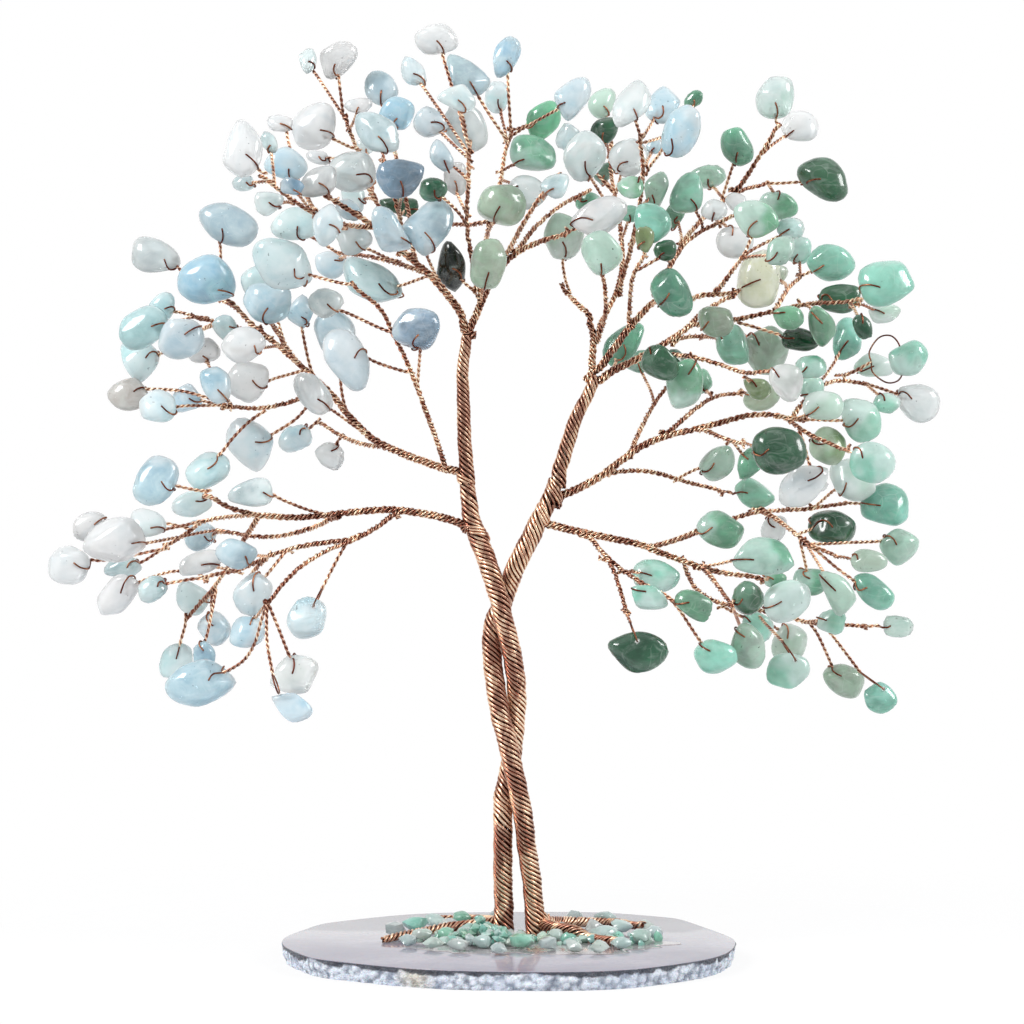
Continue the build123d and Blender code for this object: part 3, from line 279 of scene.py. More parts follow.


# the copper's colours: the pale one on each wire's crest is a painted highlight, and the darkest one between wires
# is painted shade
copperLook = {
    "paintedHighlight": (1.0, 0.95, 0.84),
    "copper": (0.92, 0.63, 0.47),
    "tarnish": (0.50, 0.20, 0.14),
    "shadow": (0.12, 0.045, 0.03),
    "patchSize": (330, 330, 110),
    "patchRange": (0.42, 0.54),
    "fine": ((1500, 3, 0.6), 0.4, 0.7),
    "litCrest": (0.66, 0.94),
    "groove": (0.68, 0.3),
    "patchShare": 0.9,
    "dullCrest": 0.72,  # how much of a crest's painted highlight a patch takes
    "fineShare": 0.3,
    "roughness": ((900, 3), 0.3, 0.7, 0.24, 0.42),
    "bump": (0.12, 0.0001),
    "metallic": 0.9,
}


def copperFinish(name):
    look = Finish(name)
    groove = look.attribute("groove")
    flow = look.clouds(1, 4, 0.6, 0.4, look.stretched(copperLook["patchSize"]))
    patches = look.ranged(flow, *copperLook["patchRange"])
    fine = look.patches(*copperLook["fine"])
    shade = look.mixed(patches * copperLook["patchShare"], paint(copperLook["copper"]), paint(copperLook["tarnish"]))
    # painted highlight along each wire's crest, weaker on tarnished patches
    litCrest = look.ranged(groove, *copperLook["litCrest"]) * (1 - copperLook["dullCrest"] * patches)
    shade = look.mixed(litCrest * (1 - copperLook["fineShare"] * fine), shade, paint(copperLook["paintedHighlight"]))
    # painted shade in the grooves between wires
    shade = look.mixed(look.ranged(groove, *copperLook["groove"]), shade, paint(copperLook["shadow"]))
    look.surface({
        "Base Color": shade,
        "Roughness": look.patches(*copperLook["roughness"]),
        "Normal": look.bump(look.clouds(2600), *copperLook["bump"]),
        "Metallic": copperLook["metallic"],
    })
    return look.material


agateLook = {
    "haze": ((38, 4, 0.55, 0.8), 0.36, 0.64),
    "top": ((0.57, 0.56, 0.61), (0.66, 0.65, 0.69)),
    "ring": (0.55, 0.54, 0.61),
    "ringRange": (0.55, 0.95, 0, 0.3),
    "crystalClouds": (1100, 5, 0.7),
    "crystalShare": 0.26,
    "grainScale": 2200.0,
    "litCrest": (0.1, 0.48),
    # the rim's hollow and crest colours: painted shade between the lumps, painted light on their crests
    "rough": ((0.48, 0.51, 0.57), (0.88, 0.91, 0.95)),
    "blueZone": ((170, 3), 0.52, 0.66, 0, 0.35),
    "blue": (0.74, 0.79, 0.87),
    "warmPlace": (-0.016, -0.037, 0.0015),
    "warmRange": (0.001, 0.0045, 0.55, 0),
    "warm": (0.84, 0.78, 0.64),
    "fray": 0.9,
    "frayClouds": (260, 4),
    "bandStart": (0.03, 0.08),
    "bandEnd": (0.7, 0.8, 1, 0),
    "band": (0.2, 0.21, 0.25),
    "sideStart": (0.04, 0.12),
}


def agateFinish(name):
    look = Finish(name)
    rim = look.attribute("rim")
    top = look.mixed(look.patches(*agateLook["haze"]), *(paint(shade) for shade in agateLook["top"]))
    rings = look.add(
        "ShaderNodeTexWave",
        {"wave_type": "RINGS", "rings_direction": "Z"},
        {"Vector": look.place(), "Scale": 42.0, "Distortion": 7.0, "Detail": 3.0, "Detail Scale": 26.0},
    )
    top = look.mixed(look.ranged(rings, *agateLook["ringRange"]), top, paint(agateLook["ring"]))
    crystals = look.clouds(*agateLook["crystalClouds"])
    inputs = {"Vector": look.place(), "Scale": agateLook["grainScale"]}
    grains = look.add("ShaderNodeTexVoronoi", inputs=inputs, output="Distance")
    # painted light and shade on the rim: the lumps' crests pale, the hollows between them grey, with random crystals
    # mixed in
    litCrest = look.ranged(look.attribute("lump") + agateLook["crystalShare"] * crystals, *agateLook["litCrest"])
    rough = look.mixed(litCrest, *(paint(shade) for shade in agateLook["rough"]))
    rough = look.mixed(look.patches(*agateLook["blueZone"]), rough, paint(agateLook["blue"]))
    warmth = look.add(
        "ShaderNodeVectorMath",
        {"operation": "DISTANCE"},
        {0: look.place(), 1: agateLook["warmPlace"]},
        output="Value",
    )
    rough = look.mixed(look.ranged(warmth, *agateLook["warmRange"]), rough, paint(agateLook["warm"]))
    frayed = rim + agateLook["fray"] * look.clouds(*agateLook["frayClouds"])
    band = look.ranged(rim, *agateLook["bandStart"]) * look.ranged(frayed, *agateLook["bandEnd"])
    side = look.mixed(band * 0.9, rough, paint(agateLook["band"]))
    shade = look.mixed(look.ranged(rim, *agateLook["sideStart"]), top, side)
    look.surface({
        "Base Color": shade,
        "Roughness": look.ranged(rim, 0.04, 0.2, 0.1, 0.42),
        "Normal": look.bump((crystals - grains) * look.ranged(rim, 0.06, 0.2), 0.6, 0.0006),
        "Subsurface Weight": 0.12,
        "Subsurface Scale": 0.003,
        "Specular IOR Level": 0.4,
    })
    return look.material


def glueFinish(name):
    look = Finish(name)
    haze = look.patches((260, 4), 0.36, 0.66)
    look.surface({
        "Base Color": look.mixed(haze, paint((0.70, 0.66, 0.68)), paint((0.82, 0.79, 0.80))),
        "Roughness": look.patches((500, 3), 0.3, 0.7, 0.06, 0.22),
        "Normal": look.bump(look.clouds(420), 0.2, 0.0006),
        "Transmission Weight": 0.35,
        "Coat Weight": 0.4,
        "IOR": 1.48,
    })
    return look.material


def weldedCopy(node):
    # the triangles come solid by solid, and a solid is whole once no edge of it is open
    shape = bmesh.new()
    shape.from_mesh(frame["nodes"][node].data)
    solids = [set()]
    openEdges = set()
    for face in shape.faces:
        solids[-1].update(face.verts)
        spots = [tuple(round(c, 6) for c in corner.co) for corner in face.verts]
        for pair in zip(spots, spots[1:] + spots[:1]):
            if pair[0] != pair[1]:
                openEdges ^= {frozenset(pair)}
        if not openEdges:
            solids.append(set())
    for solid in solids:
        bmesh.ops.remove_doubles(shape, verts=sorted(solid, key=lambda v: v.index), dist=0.02 * millimetre)
    return shape


def separateBodies(shape):
    left = set(shape.verts)
    groups = []
    for start in shape.verts:
        if start not in left:
            continue
        left.discard(start)
        queue = [start]
        group = []
        while queue:
            corner = queue.pop()
            group.append(corner)
            for edge in corner.link_edges:
                other = edge.other_vert(corner)
                if other in left:
                    left.discard(other)
                    queue.append(other)
        groups.append(group)
    return groups


# the photograph's trunk in pixels, and a pixel's width there
trunkPixel = (509, 512)
pixelWidth = 0.175 * millimetre


def pixelOf(point):
    spread = pixelWidth * (1 - point.y / view["place"][1])
    return trunkPixel[0] + point.x / spread, trunkPixel[1] - (point.z - view["place"][2]) / spread


def randomDirection():
    return Vector([random.gauss(0, 1) for _ in range(3)]).normalized()


def wrappingEllipsoid(corners):
    # the smallest ellipsoid round some corners: its centre, and the matrix of its form
    points = np.array(corners).T
    raised = np.vstack([points, np.ones(points.shape[1])])
    shares = np.full(points.shape[1], 1 / points.shape[1])
    for _ in range(60):
        spread = np.einsum("in,ij,jn->n", raised, np.linalg.inv(raised * shares @ raised.T), raised)
        furthest = spread.argmax()
        step = (spread[furthest] - 4) / (4 * (spread[furthest] - 1))
        shares *= 1 - step
        shares[furthest] += step
    centre = points @ shares
    form = np.linalg.inv(points * shares @ points.T - np.outer(centre, centre)) / 3
    return Vector(centre), form


class Chip:
    # a tumbled chip's rounded form: its solid's flat faces moved out, blended with an ellipsoid
    def __init__(self, corners, edge, growth, plumpness):
        self.edge = edge
        self.plumpness = plumpness
        self.worn = None
        self.centre, self.form = wrappingEllipsoid(corners)
        hull = bmesh.new()
        for corner in corners:
            hull.verts.new(corner)
        inner = bmesh.ops.convex_hull(hull, input=hull.verts)["geom_interior"]
        bmesh.ops.delete(hull, geom=[g for g in inner if isinstance(g, bmesh.types.BMVert)], context="VERTS")
        hull.normal_update()
        middle = sum((corner.co for corner in hull.verts), Vector()) / len(hull.verts)
        faces = []
        self.outlines = []
        for face in hull.faces:
            across = face.calc_center_median()
            outward = face.normal if face.normal.dot(across - middle) > 0 else -face.normal
            faces.append((*outward, max(outward.dot(across - self.centre), chipLook["thinnest"] * millimetre)))
            self.outlines.append([corner.co.copy() for corner in face.verts])
        self.faces = np.array(faces)
        self.grown = self.faces[:, 3] * growth
        self.limits = self.faces[:, 3] * chipLook["furthest"]
        self.size = max((c - self.centre).length for c in corners)
        hull.free()

    def keepClear(self, others):
        # no face moves out past the middle of the gap in front of it
        for n, corners in enumerate(self.outlines):
            outward = Vector(self.faces[n, :3])
            middle = sum(corners, Vector()) / len(corners)
            for start in [middle] + [middle.lerp(corner, 0.75) for corner in corners]:
                start += outward * chipLook["startOff"] * millimetre
                gap = others.ray_cast(start, outward, chipLook["lookAhead"] * millimetre)[3]
                if gap is not None:
                    self.limits[n] = min(self.limits[n], self.faces[n, 3] + chipLook["gapShare"] * gap)

    def wear(self, count, depth):
        # flat places worn or broken into the rounded form
        worn = []
        for _ in range(count):
            outward = randomDirection()
            worn.append((*outward, self.reach(outward) * random.uniform(*depth)))
        self.worn = np.array(worn)

    def reach(self, direction):
        # how far the form goes out; a higher power blends two limits more sharply
        direction = np.array(direction)
        facing = np.maximum(self.faces[:, :3] @ direction, 0)
        flat = ((facing / self.grown) ** self.edge).sum() ** (1 / self.edge)
        if self.plumpness:
            plump = math.sqrt(direction @ self.form @ direction)
            power = chipLook["blendPower"]
            flat = ((1 - self.plumpness) * flat**power + self.plumpness * plump**power) ** (1 / power)
        power = chipLook["wornPower"]
        kept = ((facing / self.limits) ** power).sum()
        if self.worn is not None:
            kept += ((np.maximum(self.worn[:, :3] @ direction, 0) / self.worn[:, 3]) ** power).sum()
        kept **= 1 / power
        power = chipLook["limitPower"]
        return float((flat**power + kept**power) ** (-1 / power))

    def skin(self, direction, proud=0.0):
        return self.centre + direction * (self.reach(direction) + proud)

    def exit(self, start, direction):
        # where a line from inside comes out, by halving
        low, high = 0.0, 2.5 * self.size
        for _ in range(chipLook["halvings"]):
            middle = (low + high) / 2
            offset = start + direction * middle - self.centre
            if offset.length < self.reach(offset.normalized()):
                low = middle
            else:
                high = middle
        return start + direction * low


shades = {
    "sky": (0.72, 0.88, 0.96),
    "pale": (0.85, 0.95, 0.98),
    "milk": (0.93, 0.98, 0.98),
    "grey": (0.76, 0.86, 0.90),
    "slate": (0.50, 0.60, 0.67),
    "aqua": (0.73, 0.90, 0.91),
    "taupe": (0.78, 0.74, 0.71),
    "dark": (0.20, 0.36, 0.26),
    "black": (0.04, 0.09, 0.04),
    "mid": (0.46, 0.66, 0.56),
    "teal": (0.60, 0.81, 0.74),
    "mint": (0.77, 0.88, 0.83),
    "clear": (0.95, 0.99, 0.98),
    "sage": (0.72, 0.79, 0.73),
    "olive": (0.52, 0.58, 0.43),
    "emerald": (0.55, 0.86, 0.72),
    "bottle": (0.03, 0.24, 0.13),
    "lime": (0.86, 0.89, 0.79),
    "surf": (0.56, 0.80, 0.72),
    "foam": (0.76, 0.86, 0.82),
    "frost": (0.76, 0.82, 0.81),
}
# where each shade is seen, in pixels
seen = {
    "sky": [
        (208, 282), (187, 399), (284, 164), (396, 115), (204, 664), (292, 705), (307, 617), (680, 132), (504, 57),
        (296, 438),
    ],
    "aqua": [(140, 328), (138, 357), (284, 268), (177, 659)],
    "pale": [
        (162, 312), (226, 328), (262, 285), (156, 404), (208, 470), (251, 445), (268, 145), (247, 181), (294, 221),
        (353, 241), (380, 132), (352, 203), (373, 283), (366, 146), (413, 73), (460, 95), (497, 98), (567, 138),
        (253, 492), (193, 503), (145, 524), (127, 568), (152, 589), (193, 598), (252, 595), (328, 224), (553, 185),
    ],
    "milk": [
        (156, 256), (203, 350), (243, 345), (247, 380), (325, 303), (314, 392), (243, 149), (265, 198), (279, 126),
        (352, 170), (318, 184), (313, 58), (316, 162), (362, 108), (528, 191), (436, 40), (465, 122), (579, 154),
        (632, 104), (631, 158), (88, 528), (117, 539), (71, 564), (115, 597), (198, 564), (294, 676), (455, 180),
        (598, 217), (315, 128),
    ],
    "grey": [
        (226, 224), (180, 338), (267, 305), (216, 384), (301, 312), (335, 333), (347, 358), (348, 215), (390, 232),
        (426, 228), (382, 90), (430, 123), (440, 155), (466, 79), (663, 105), (656, 143), (156, 480), (200, 535),
        (238, 554), (214, 628), (247, 631), (203, 683), (330, 263), (570, 100),
    ],
    "slate": [(417, 329), (290, 190), (400, 176)],
    "taupe": [(130, 395)],
    "dark": [
        (433, 188), (400, 208), (601, 133), (603, 172), (663, 248), (824, 179), (838, 301), (862, 324), (777, 451),
        (832, 525), (748, 600), (635, 652), (659, 358),
    ],
    "black": [(452, 267)],
    "mid": [
        (533, 154), (690, 100), (631, 187), (588, 200), (737, 147), (775, 200), (757, 219), (780, 248), (793, 275),
        (670, 295), (825, 325), (790, 318), (623, 346), (684, 381), (808, 368), (752, 445), (812, 583), (765, 558),
        (768, 586), (722, 529), (675, 215), (696, 606),
    ],
    "teal": [
        (828, 262), (797, 252), (886, 283), (848, 334), (907, 357), (887, 398), (862, 416), (868, 461), (751, 490),
        (886, 507), (872, 591), (757, 622), (657, 577), (648, 592), (716, 654), (788, 671), (879, 697), (831, 625),
        (684, 197), (735, 335), (652, 221), (415, 928),
    ],
    "mint": [
        (603, 105), (602, 253), (775, 97), (788, 227), (881, 310), (812, 390), (873, 370), (823, 408), (852, 480),
        (786, 602), (894, 625), (845, 505), (394, 930),
    ],
    "clear": [
        (798, 127), (733, 236), (715, 210), (735, 205), (787, 380), (917, 400), (805, 482), (773, 520), (334, 62),
        (460, 935), (652, 938), (330, 456),
    ],
    "sage": [
        (487, 262), (500, 203), (561, 236), (654, 190), (704, 182), (716, 325), (717, 465), (899, 546), (862, 559),
        (839, 596), (748, 644), (790, 641), (843, 679), (766, 348),
    ],
    "olive": [(645, 240), (760, 382), (828, 440)],
    "emerald": [(543, 122), (515, 940)],
    "bottle": [(802, 336)],
    "lime": [(757, 279)],
}
baseShades = {
    "base_green_stones": ["surf", "surf", "teal", "frost"],
    "base_clear_stones": ["foam", "frost", "frost", "frost"],
}
greenHeap = (415, 545)  # from left to right, in pixels
chipLook = {
    "roundSides": 3,  # halvings of each side of the starting shape
    "largeSides": 4,
    "largeFrom": 3.4,
    "tumbled": {"edge": 6, "growth": 1.5, "plumpness": (0.3, 0.8), "facets": (3, 5), "depth": (0.85, 0.96)},
    "broken": {"edge": 30, "growth": 1.2, "plumpness": (0.2, 0.6), "facets": (2, 3), "depth": (0.8, 0.95)},
    "crystalCorners": 32,
    "crystalEdge": 48,  # degrees
    "thinnest": 0.1,
    "furthest": 3,
    "startOff": 0.02,
    "lookAhead": 3,
    "gapShare": 0.46,
    "blendPower": 3,
    "wornPower": 14,
    "limitPower": 9,
    "halvings": 18,
    "wobble": 0.035,
    "wobbleSize": 2.2,
    "pit": 0.012,
    "pitSize": 0.7,
    "shadeDrift": 0.035,
    "warmDrift": (0.8, 0, -0.3),
    "lightest": 0.95,
    "near": 34,
    "baseFrom": 880,
    "baseNear": 14,
    "boreRadius": 0.3,
    "boreLength": 24,
    "boreSides": 20,
}


def shadeOf(centre, node):
    x, y = pixelOf(centre)
    best = min((math.hypot(x - px, y - py), name) for name, places in seen.items() for px, py in places)
    onBase = y > chipLook["baseFrom"]
    if best[0] < chipLook["near"] and not (onBase and best[0] > chipLook["baseNear"]):
        return best[1]
    if "clear" in node:
        return random.choice(["clear", "milk", "pale"])
    if "blue" in node:
        return random.choice(["sky", "pale", "grey"])
    return random.choice(["dark", "mid", "teal", "bottle", "sage"])


def secondTone(shade):
    # many chips run from one tone into a paler or deeper one
    kind = random.random()
    if kind < toneLook["paler"]:
        lift = toneLook["lift"] * min(1, 1.4 * shade[1])
        return [c + (w - c) * lift for c, w in zip(shade, toneLook["pale"])]
    if kind < toneLook["paler"] + toneLook["deeper"]:
        return [c * toneLook["depth"] for c in shade]
    return shade


# the share of chips that turn paler or deeper, by how much, and how the border between two tones runs
toneLook = {
    "paler": 0.45,
    "deeper": 0.35,
    "lift": 0.6,
    "pale": (0.95, 0.97, 0.98),
    "depth": 0.86,
    "blend": 0.5,
    "border": (-0.4, 0.3),
    "waver": 0.5,
}


def addChip(shape, chip, sides, tint, other, glassy, layers):
    towards = randomDirection()
    border = random.uniform(*toneLook["border"])
    made = bmesh.ops.create_icosphere(shape, subdivisions=sides, radius=1.0)
    directions = [corner.co.normalized() for corner in made["verts"]]
    reaches = [chip.reach(direction) for direction in directions]
    longest = max(reaches)
    for corner, direction, reach in zip(made["verts"], directions, reaches):
        place = chip.centre + direction * reach
        swell = noise.noise(place / (chipLook["wobbleSize"] * millimetre))
        pit = max(noise.noise(place / (chipLook["pitSize"] * millimetre)), 0)
        corner.co = chip.centre + direction * reach * (1 + chipLook["wobble"] * swell - chipLook["pit"] * pit)
        across = direction.dot(towards) * reach / longest - border + toneLook["waver"] * swell
        zone = min(max(across / toneLook["blend"] + 0.5, 0), 1)
        shade = [a + (b - a) * zone for a, b in zip(tint, other)]
        # the last layer holds how far out the corner lies, which the finish turns into a painted glow at the tips
        for layer, value in zip(layers, ((*shade, 1), glassy, reach / longest)):
            corner[layer] = value


def addCrystal(shape, places, tint, glassy, layers):
    # a broken crystal: the hull of some corners
    corners = [shape.verts.new(place) for place in places]
    for corner in corners:
        for layer, value in zip(layers, ((*tint, 1), glassy, shardLook["edge"])):
            corner[layer] = value
    made = bmesh.ops.convex_hull(shape, input=corners)
    inner = {g for g in made["geom_interior"] + made["geom_unused"] if isinstance(g, bmesh.types.BMVert)}
    bmesh.ops.delete(shape, geom=list(inner), context="VERTS")


def scatterShards(shape, layers):
    # broken pieces heaped in the glue round the trunk's feet
    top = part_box("agate_slice")[1].z
    for centreX, centreY, acrossX, acrossY, mound, count in shardLook["heaps"]:
        for _ in range(count):
            angle, away = random.uniform(0, 2 * math.pi), math.sqrt(random.random())
            size = random.uniform(*shardLook["size"]) * millimetre
            rise = mound * millimetre * (1 - away**2) * random.uniform(*shardLook["pile"])
            middle = Vector((
                (centreX + acrossX * away * math.cos(angle)) * millimetre,
                (centreY + acrossY * away * math.sin(angle)) * millimetre,
                top + shardLook["seat"] * size + rise,
            ))
            turn = Matrix.Rotation(random.uniform(0, math.pi), 3, randomDirection())
            places = []
            for _ in range(shardLook["corners"]):
                outward = Vector([a * b for a, b in zip(randomDirection(), shardLook["form"])])
                place = middle + turn @ outward * size
                place.z = max(place.z, top + shardLook["gap"] * millimetre)
                places.append(place)
            shade = shades[random.choice(shardLook["shades"])]
            tint = [c + random.uniform(-shardLook["drift"], shardLook["drift"]) for c in shade]
            addCrystal(shape, places, linear(tint), random.random(), layers)


shardLook = {
    "corners": 20,
    "size": (0.55, 1.2),
    "form": (1.25, 1, 0.75),
    "pile": (0.35, 1),
    "seat": 0.55,
    "gap": 0.02,
    # a broken piece's fixed value for the painted glow at tips
    "edge": 0.7,
    "drift": 0.04,
    "shades": ["surf", "surf", "foam", "mint", "teal", "foam"],
    # middle x and y, half widths in x and y, height of the mound, all in millimetres, and how many
    "heaps": [
        (-3.5, -7.0, 8.0, 5.5, 2.6, 80),
        (-5.0, -1.5, 4.0, 3.0, 3.2, 26),
        (-14.0, 1.0, 6.0, 5.0, 0.7, 12),
        (9.0, -5.0, 5.0, 4.0, 0.9, 18),
        (18.0, -4.0, 9.0, 6.0, 0.8, 26),
    ],
}


def boreHole(piece, centre, axis):
    cutter = bmesh.new()
    bmesh.ops.create_cone(
        cutter,
        cap_ends=True,
        segments=chipLook["boreSides"],
        radius1=chipLook["boreRadius"] * millimetre,
        radius2=chipLook["boreRadius"] * millimetre,
        depth=chipLook["boreLength"] * millimetre,
    )
    turn = Vector((0, 0, 1)).rotation_difference(axis).to_matrix().to_4x4()
    bmesh.ops.transform(cutter, matrix=Matrix.Translation(centre) @ turn, verts=cutter.verts)
    drill = newPiece("drill", cutter)
    cut = piece.modifiers.new("bore", "BOOLEAN")
    cut.object = drill
    cut.operation = "DIFFERENCE"
    cut.solver = "EXACT"
    settled = settledMesh(piece)
    piece.modifiers.clear()
    piece.data = settled
    bpy.data.objects.remove(drill)


def settledMesh(thing):
    return bpy.data.meshes.new_from_object(thing.evaluated_get(bpy.context.evaluated_depsgraph_get()))


def newPiece(name, shape):
    mesh = bpy.data.meshes.new(name)
    shape.to_mesh(mesh)
    shape.free()
    mesh.shade_smooth()
    return addObject(name, mesh)


def makeChips(node, body, finish, hinge, others):
    onBase = node.startswith("base_")
    source = weldedCopy(node)
    shape = bmesh.new()
    layers = (
        shape.verts.layers.float_color.new("tint"),
        shape.verts.layers.float.new("glassy"),
        shape.verts.layers.float.new("edge"),
    )
    wear = chipLook["broken" if onBase else "tumbled"]
    drift = chipLook["shadeDrift"]
    chips = []
    for group in separateBodies(source):
        plumpness = random.uniform(*wear["plumpness"])
        chip = Chip([corner.co.copy() for corner in group], wear["edge"], wear["growth"], plumpness)
        chip.keepClear(others)
        chip.wear(random.randint(*wear["facets"]), wear["depth"])
        name = shadeOf(chip.centre, node)
        if onBase:
            heaped = greenHeap[0] < pixelOf(chip.centre)[0] < greenHeap[1]
            name = random.choice(baseShades[node if heaped else "base_clear_stones"])
        light = random.uniform(-drift, drift)
        warmth = random.uniform(-drift, drift)
        drifts = [light + warm * warmth for warm in chipLook["warmDrift"]]
        shade = [min(c + change, chipLook["lightest"]) for c, change in zip(shades[name], drifts)]
        if onBase:
            places = [chip.skin(randomDirection()) for _ in range(chipLook["crystalCorners"])]
            addCrystal(shape, places, linear(shade), random.random(), layers)
        else:
            sides = chipLook["largeSides" if chip.size > chipLook["largeFrom"] * millimetre else "roundSides"]
            other = linear(secondTone(shade))
            addChip(shape, chip, sides, linear(shade), other, random.random(), layers)
        chips.append(chip)
    source.free()
    if node == "base_green_stones":
        scatterShards(shape, layers)
    piece = newPiece(node + "_tumbled", shape)
    if onBase:
        piece.data.set_sharp_from_angle(angle=math.radians(chipLook["crystalEdge"]))
    if hinge:
        boreHole(piece, Vector(hinge["pos_m"]), Vector(hinge["axis"]).normalized())
    piece.data.materials.append(finish)
    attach(piece, body)
    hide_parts(node)
    return chips


wireLook = {
    "radius": 0.168,
    "thin": 0.92,  # a single wire's share of that radius
    "sides": 1,
    "step": 0.4,
    "fineStep": 0.25,
    "level": 1.6,
    # a rope's wire radius, its slant, its tip's width and where that taper starts, and its foot's flare
    "trunk": {"wire": 0.33, "slant": 48, "tip": 0.72, "taperFrom": 0.87, "flare": (0.2, 1.8)},
    "upper": {"wire": 0.29, "slant": 45, "tip": 0.76, "taperFrom": 0.45, "flare": (0.22, 9.0)},
    "root": {"wire": 0.26, "slant": 42, "tip": 0.6, "taperFrom": 0.3, "flare": (0, 1)},
    # how far a rope runs on past its solid's two ends
    "trunkEnds": (0.3, 1.5),
    "upperEnds": (1.4, 0.5),
    "rootEnds": (0.6, 0),
    "limbEnds": (0.8, 0.2),
    "twigEnds": (0.7, 0),
    "stemEnds": (0.7, 0.1),
    "rootShare": 1.2,
    "upperShare": 1.24,
    "thickFrom": 0.8,
    "laidGap": 2.06,
    "core": 0.7,
    "leastCore": 0.3,
    "pairRadius": 1.7,
    "pairGap": 1.9,
    "pairSlant": 22,
    "pairCore": (1.35, 0.7),
    "limbTip": 0.38,
    "limbShare": 0.93,
    "branchTip": 0.5,
    "twigLay": 2.0,
    "twigDrift": (0.88, 1.15),
    "twigRing": 0.96,
    "looseMark": 0.45,
    "endFacing": 0.75,
}


def travelled(start, inside):
    # the way along edges from one corner to each other corner of its body
    best = {start: 0.0}
    queue = [(0.0, start.index, start)]
    while queue:
        run, _, corner = heapq.heappop(queue)
        if run > best[corner]:
            continue
        for edge in corner.link_edges:
            other = edge.other_vert(corner)
            longer = run + edge.calc_length()
            if other in inside and longer < best.get(other, 1e9):
                best[other] = longer
                heapq.heappush(queue, (longer, other.index, other))
    return best


def routeOf(group, gap):
    # a tube's centre line: its corners sorted along it, and parted where gaps show its rings
    inside = set(group)
    start = travelled(group[0], inside)
    first = max(start, key=start.get)
    fromFirst = travelled(first, inside)
    last = max(fromFirst, key=fromFirst.get)
    fromLast = travelled(last, inside)
    placed = sorted((fromFirst[c] - fromLast[c], c.index, c.co) for c in group if c in fromFirst and c in fromLast)
    rings = [[placed[0][2]]]
    for before, after in zip(placed, placed[1:]):
        if (after[0] - before[0]) / 2 > gap:
            rings.append([])
        rings[-1].append(after[2])
    middles = [sum(ring, Vector()) / len(ring) for ring in rings]
    widths = sorted((corner - middle).length for ring, middle in zip(rings, middles) for corner in ring)
    points = [middles[0]]
    for n in range(1, len(middles) - 1):
        points.append((middles[n - 1] + 2 * middles[n] + middles[n + 1]) / 4)
    if len(middles) > 1:
        points.append(middles[-1])
    return points, widths[len(widths) // 2]


def risingRoute(shape, step):
    # an upright tube's centre line and half widths: the middles of its cuts by level planes
    levels = [corner.co.z for corner in shape.verts]
    low, high = min(levels) + 0.3 * step, max(levels) - 0.3 * step
    points, widths = [], []
    for n in range(int((high - low) / step) + 1):
        z = low + n * step
        cuts = []
        for edge in shape.edges:
            a, b = (corner.co for corner in edge.verts)
            if (a.z - z) * (b.z - z) < 0:
                cuts.append(a.lerp(b, (z - a.z) / (b.z - a.z)))
        if len(cuts) > 2:
            xs, ys = [c.x for c in cuts], [c.y for c in cuts]
            points.append(Vector(((min(xs) + max(xs)) / 2, (min(ys) + max(ys)) / 2, z)))
            widths.append(min(max(xs) - min(xs), max(ys) - min(ys)) / 2)
    return points, sorted(widths)[len(widths) // 2]


def smoothRoute(points, step):
    # a curve through the points, in short steps
    if len(points) < 2:
        return points
    dense = []
    ends = [2 * points[0] - points[1]] + list(points) + [2 * points[-1] - points[-2]]
    for n in range(1, len(ends) - 2):
        a, b, c, d = ends[n - 1 : n + 3]
        parts = max(2, int((c - b).length / step) + 1)
        for k in range(parts):
            t = k / parts
            bend = (2 * a - 5 * b + 4 * c - d) * t * t + (3 * b - a - 3 * c + d) * t**3
            dense.append(0.5 * ((2 * b) + (c - a) * t + bend))
    dense.append(points[-1].copy())
    return dense


def wayAt(points, n):
    return (points[min(n + 1, len(points) - 1)] - points[max(n - 1, 0)]).normalized()


def frames(points):
    # a pair of sideways directions at each point, carried along without twist
    side = None
    found = []
    for n in range(len(points)):
        along = wayAt(points, n)
        if side is None:
            side = along.orthogonal().normalized()
            front = Vector((1, 0, 0)) - along * along.x
            if front.length > 0.3:
                side = front.normalized()
        side = (side - along * side.dot(along)).normalized()
        found.append((side, along.cross(side)))
    return found


def laidWires(points, count, radius, slant, start, spread=None, jitter=0.09):
    # wires laid round a centre line; as it thins, the last wire slides under the first and ends
    sideways = frames(points)
    nudges = [random.uniform(-jitter, jitter) for _ in range(count)]
    lines = [[] for _ in range(count)]
    run = turn = 0.0
    for n, point in enumerate(points):
        fan = spread(run) if spread else 1.0
        if n:
            pace = (point - points[n - 1]).length
            run += pace
            turn -= pace * math.tan(math.radians(slant)) / (radius * fan)
        alive = max(min(count, 2), count * min(fan, 1))
        for k, line in enumerate(lines):
            if k > alive - 0.4 or (n and len(line) < n):
                continue
            angle = start + turn + 2 * math.pi * (k + nudges[k]) / alive
            wave = 1 + laidWave["height"] * math.sin(laidWave["phase"] * k + run / (laidWave["length"] * millimetre))
            offset = sideways[n][0] * math.cos(angle) + sideways[n][1] * math.sin(angle)
            line.append(point + offset * radius * fan * wave)
    return [line for line in lines if len(line) > 2]


# each wire rises and sinks a little on its way
laidWave = {"height": 0.035, "phase": 0.9, "length": 1.7}


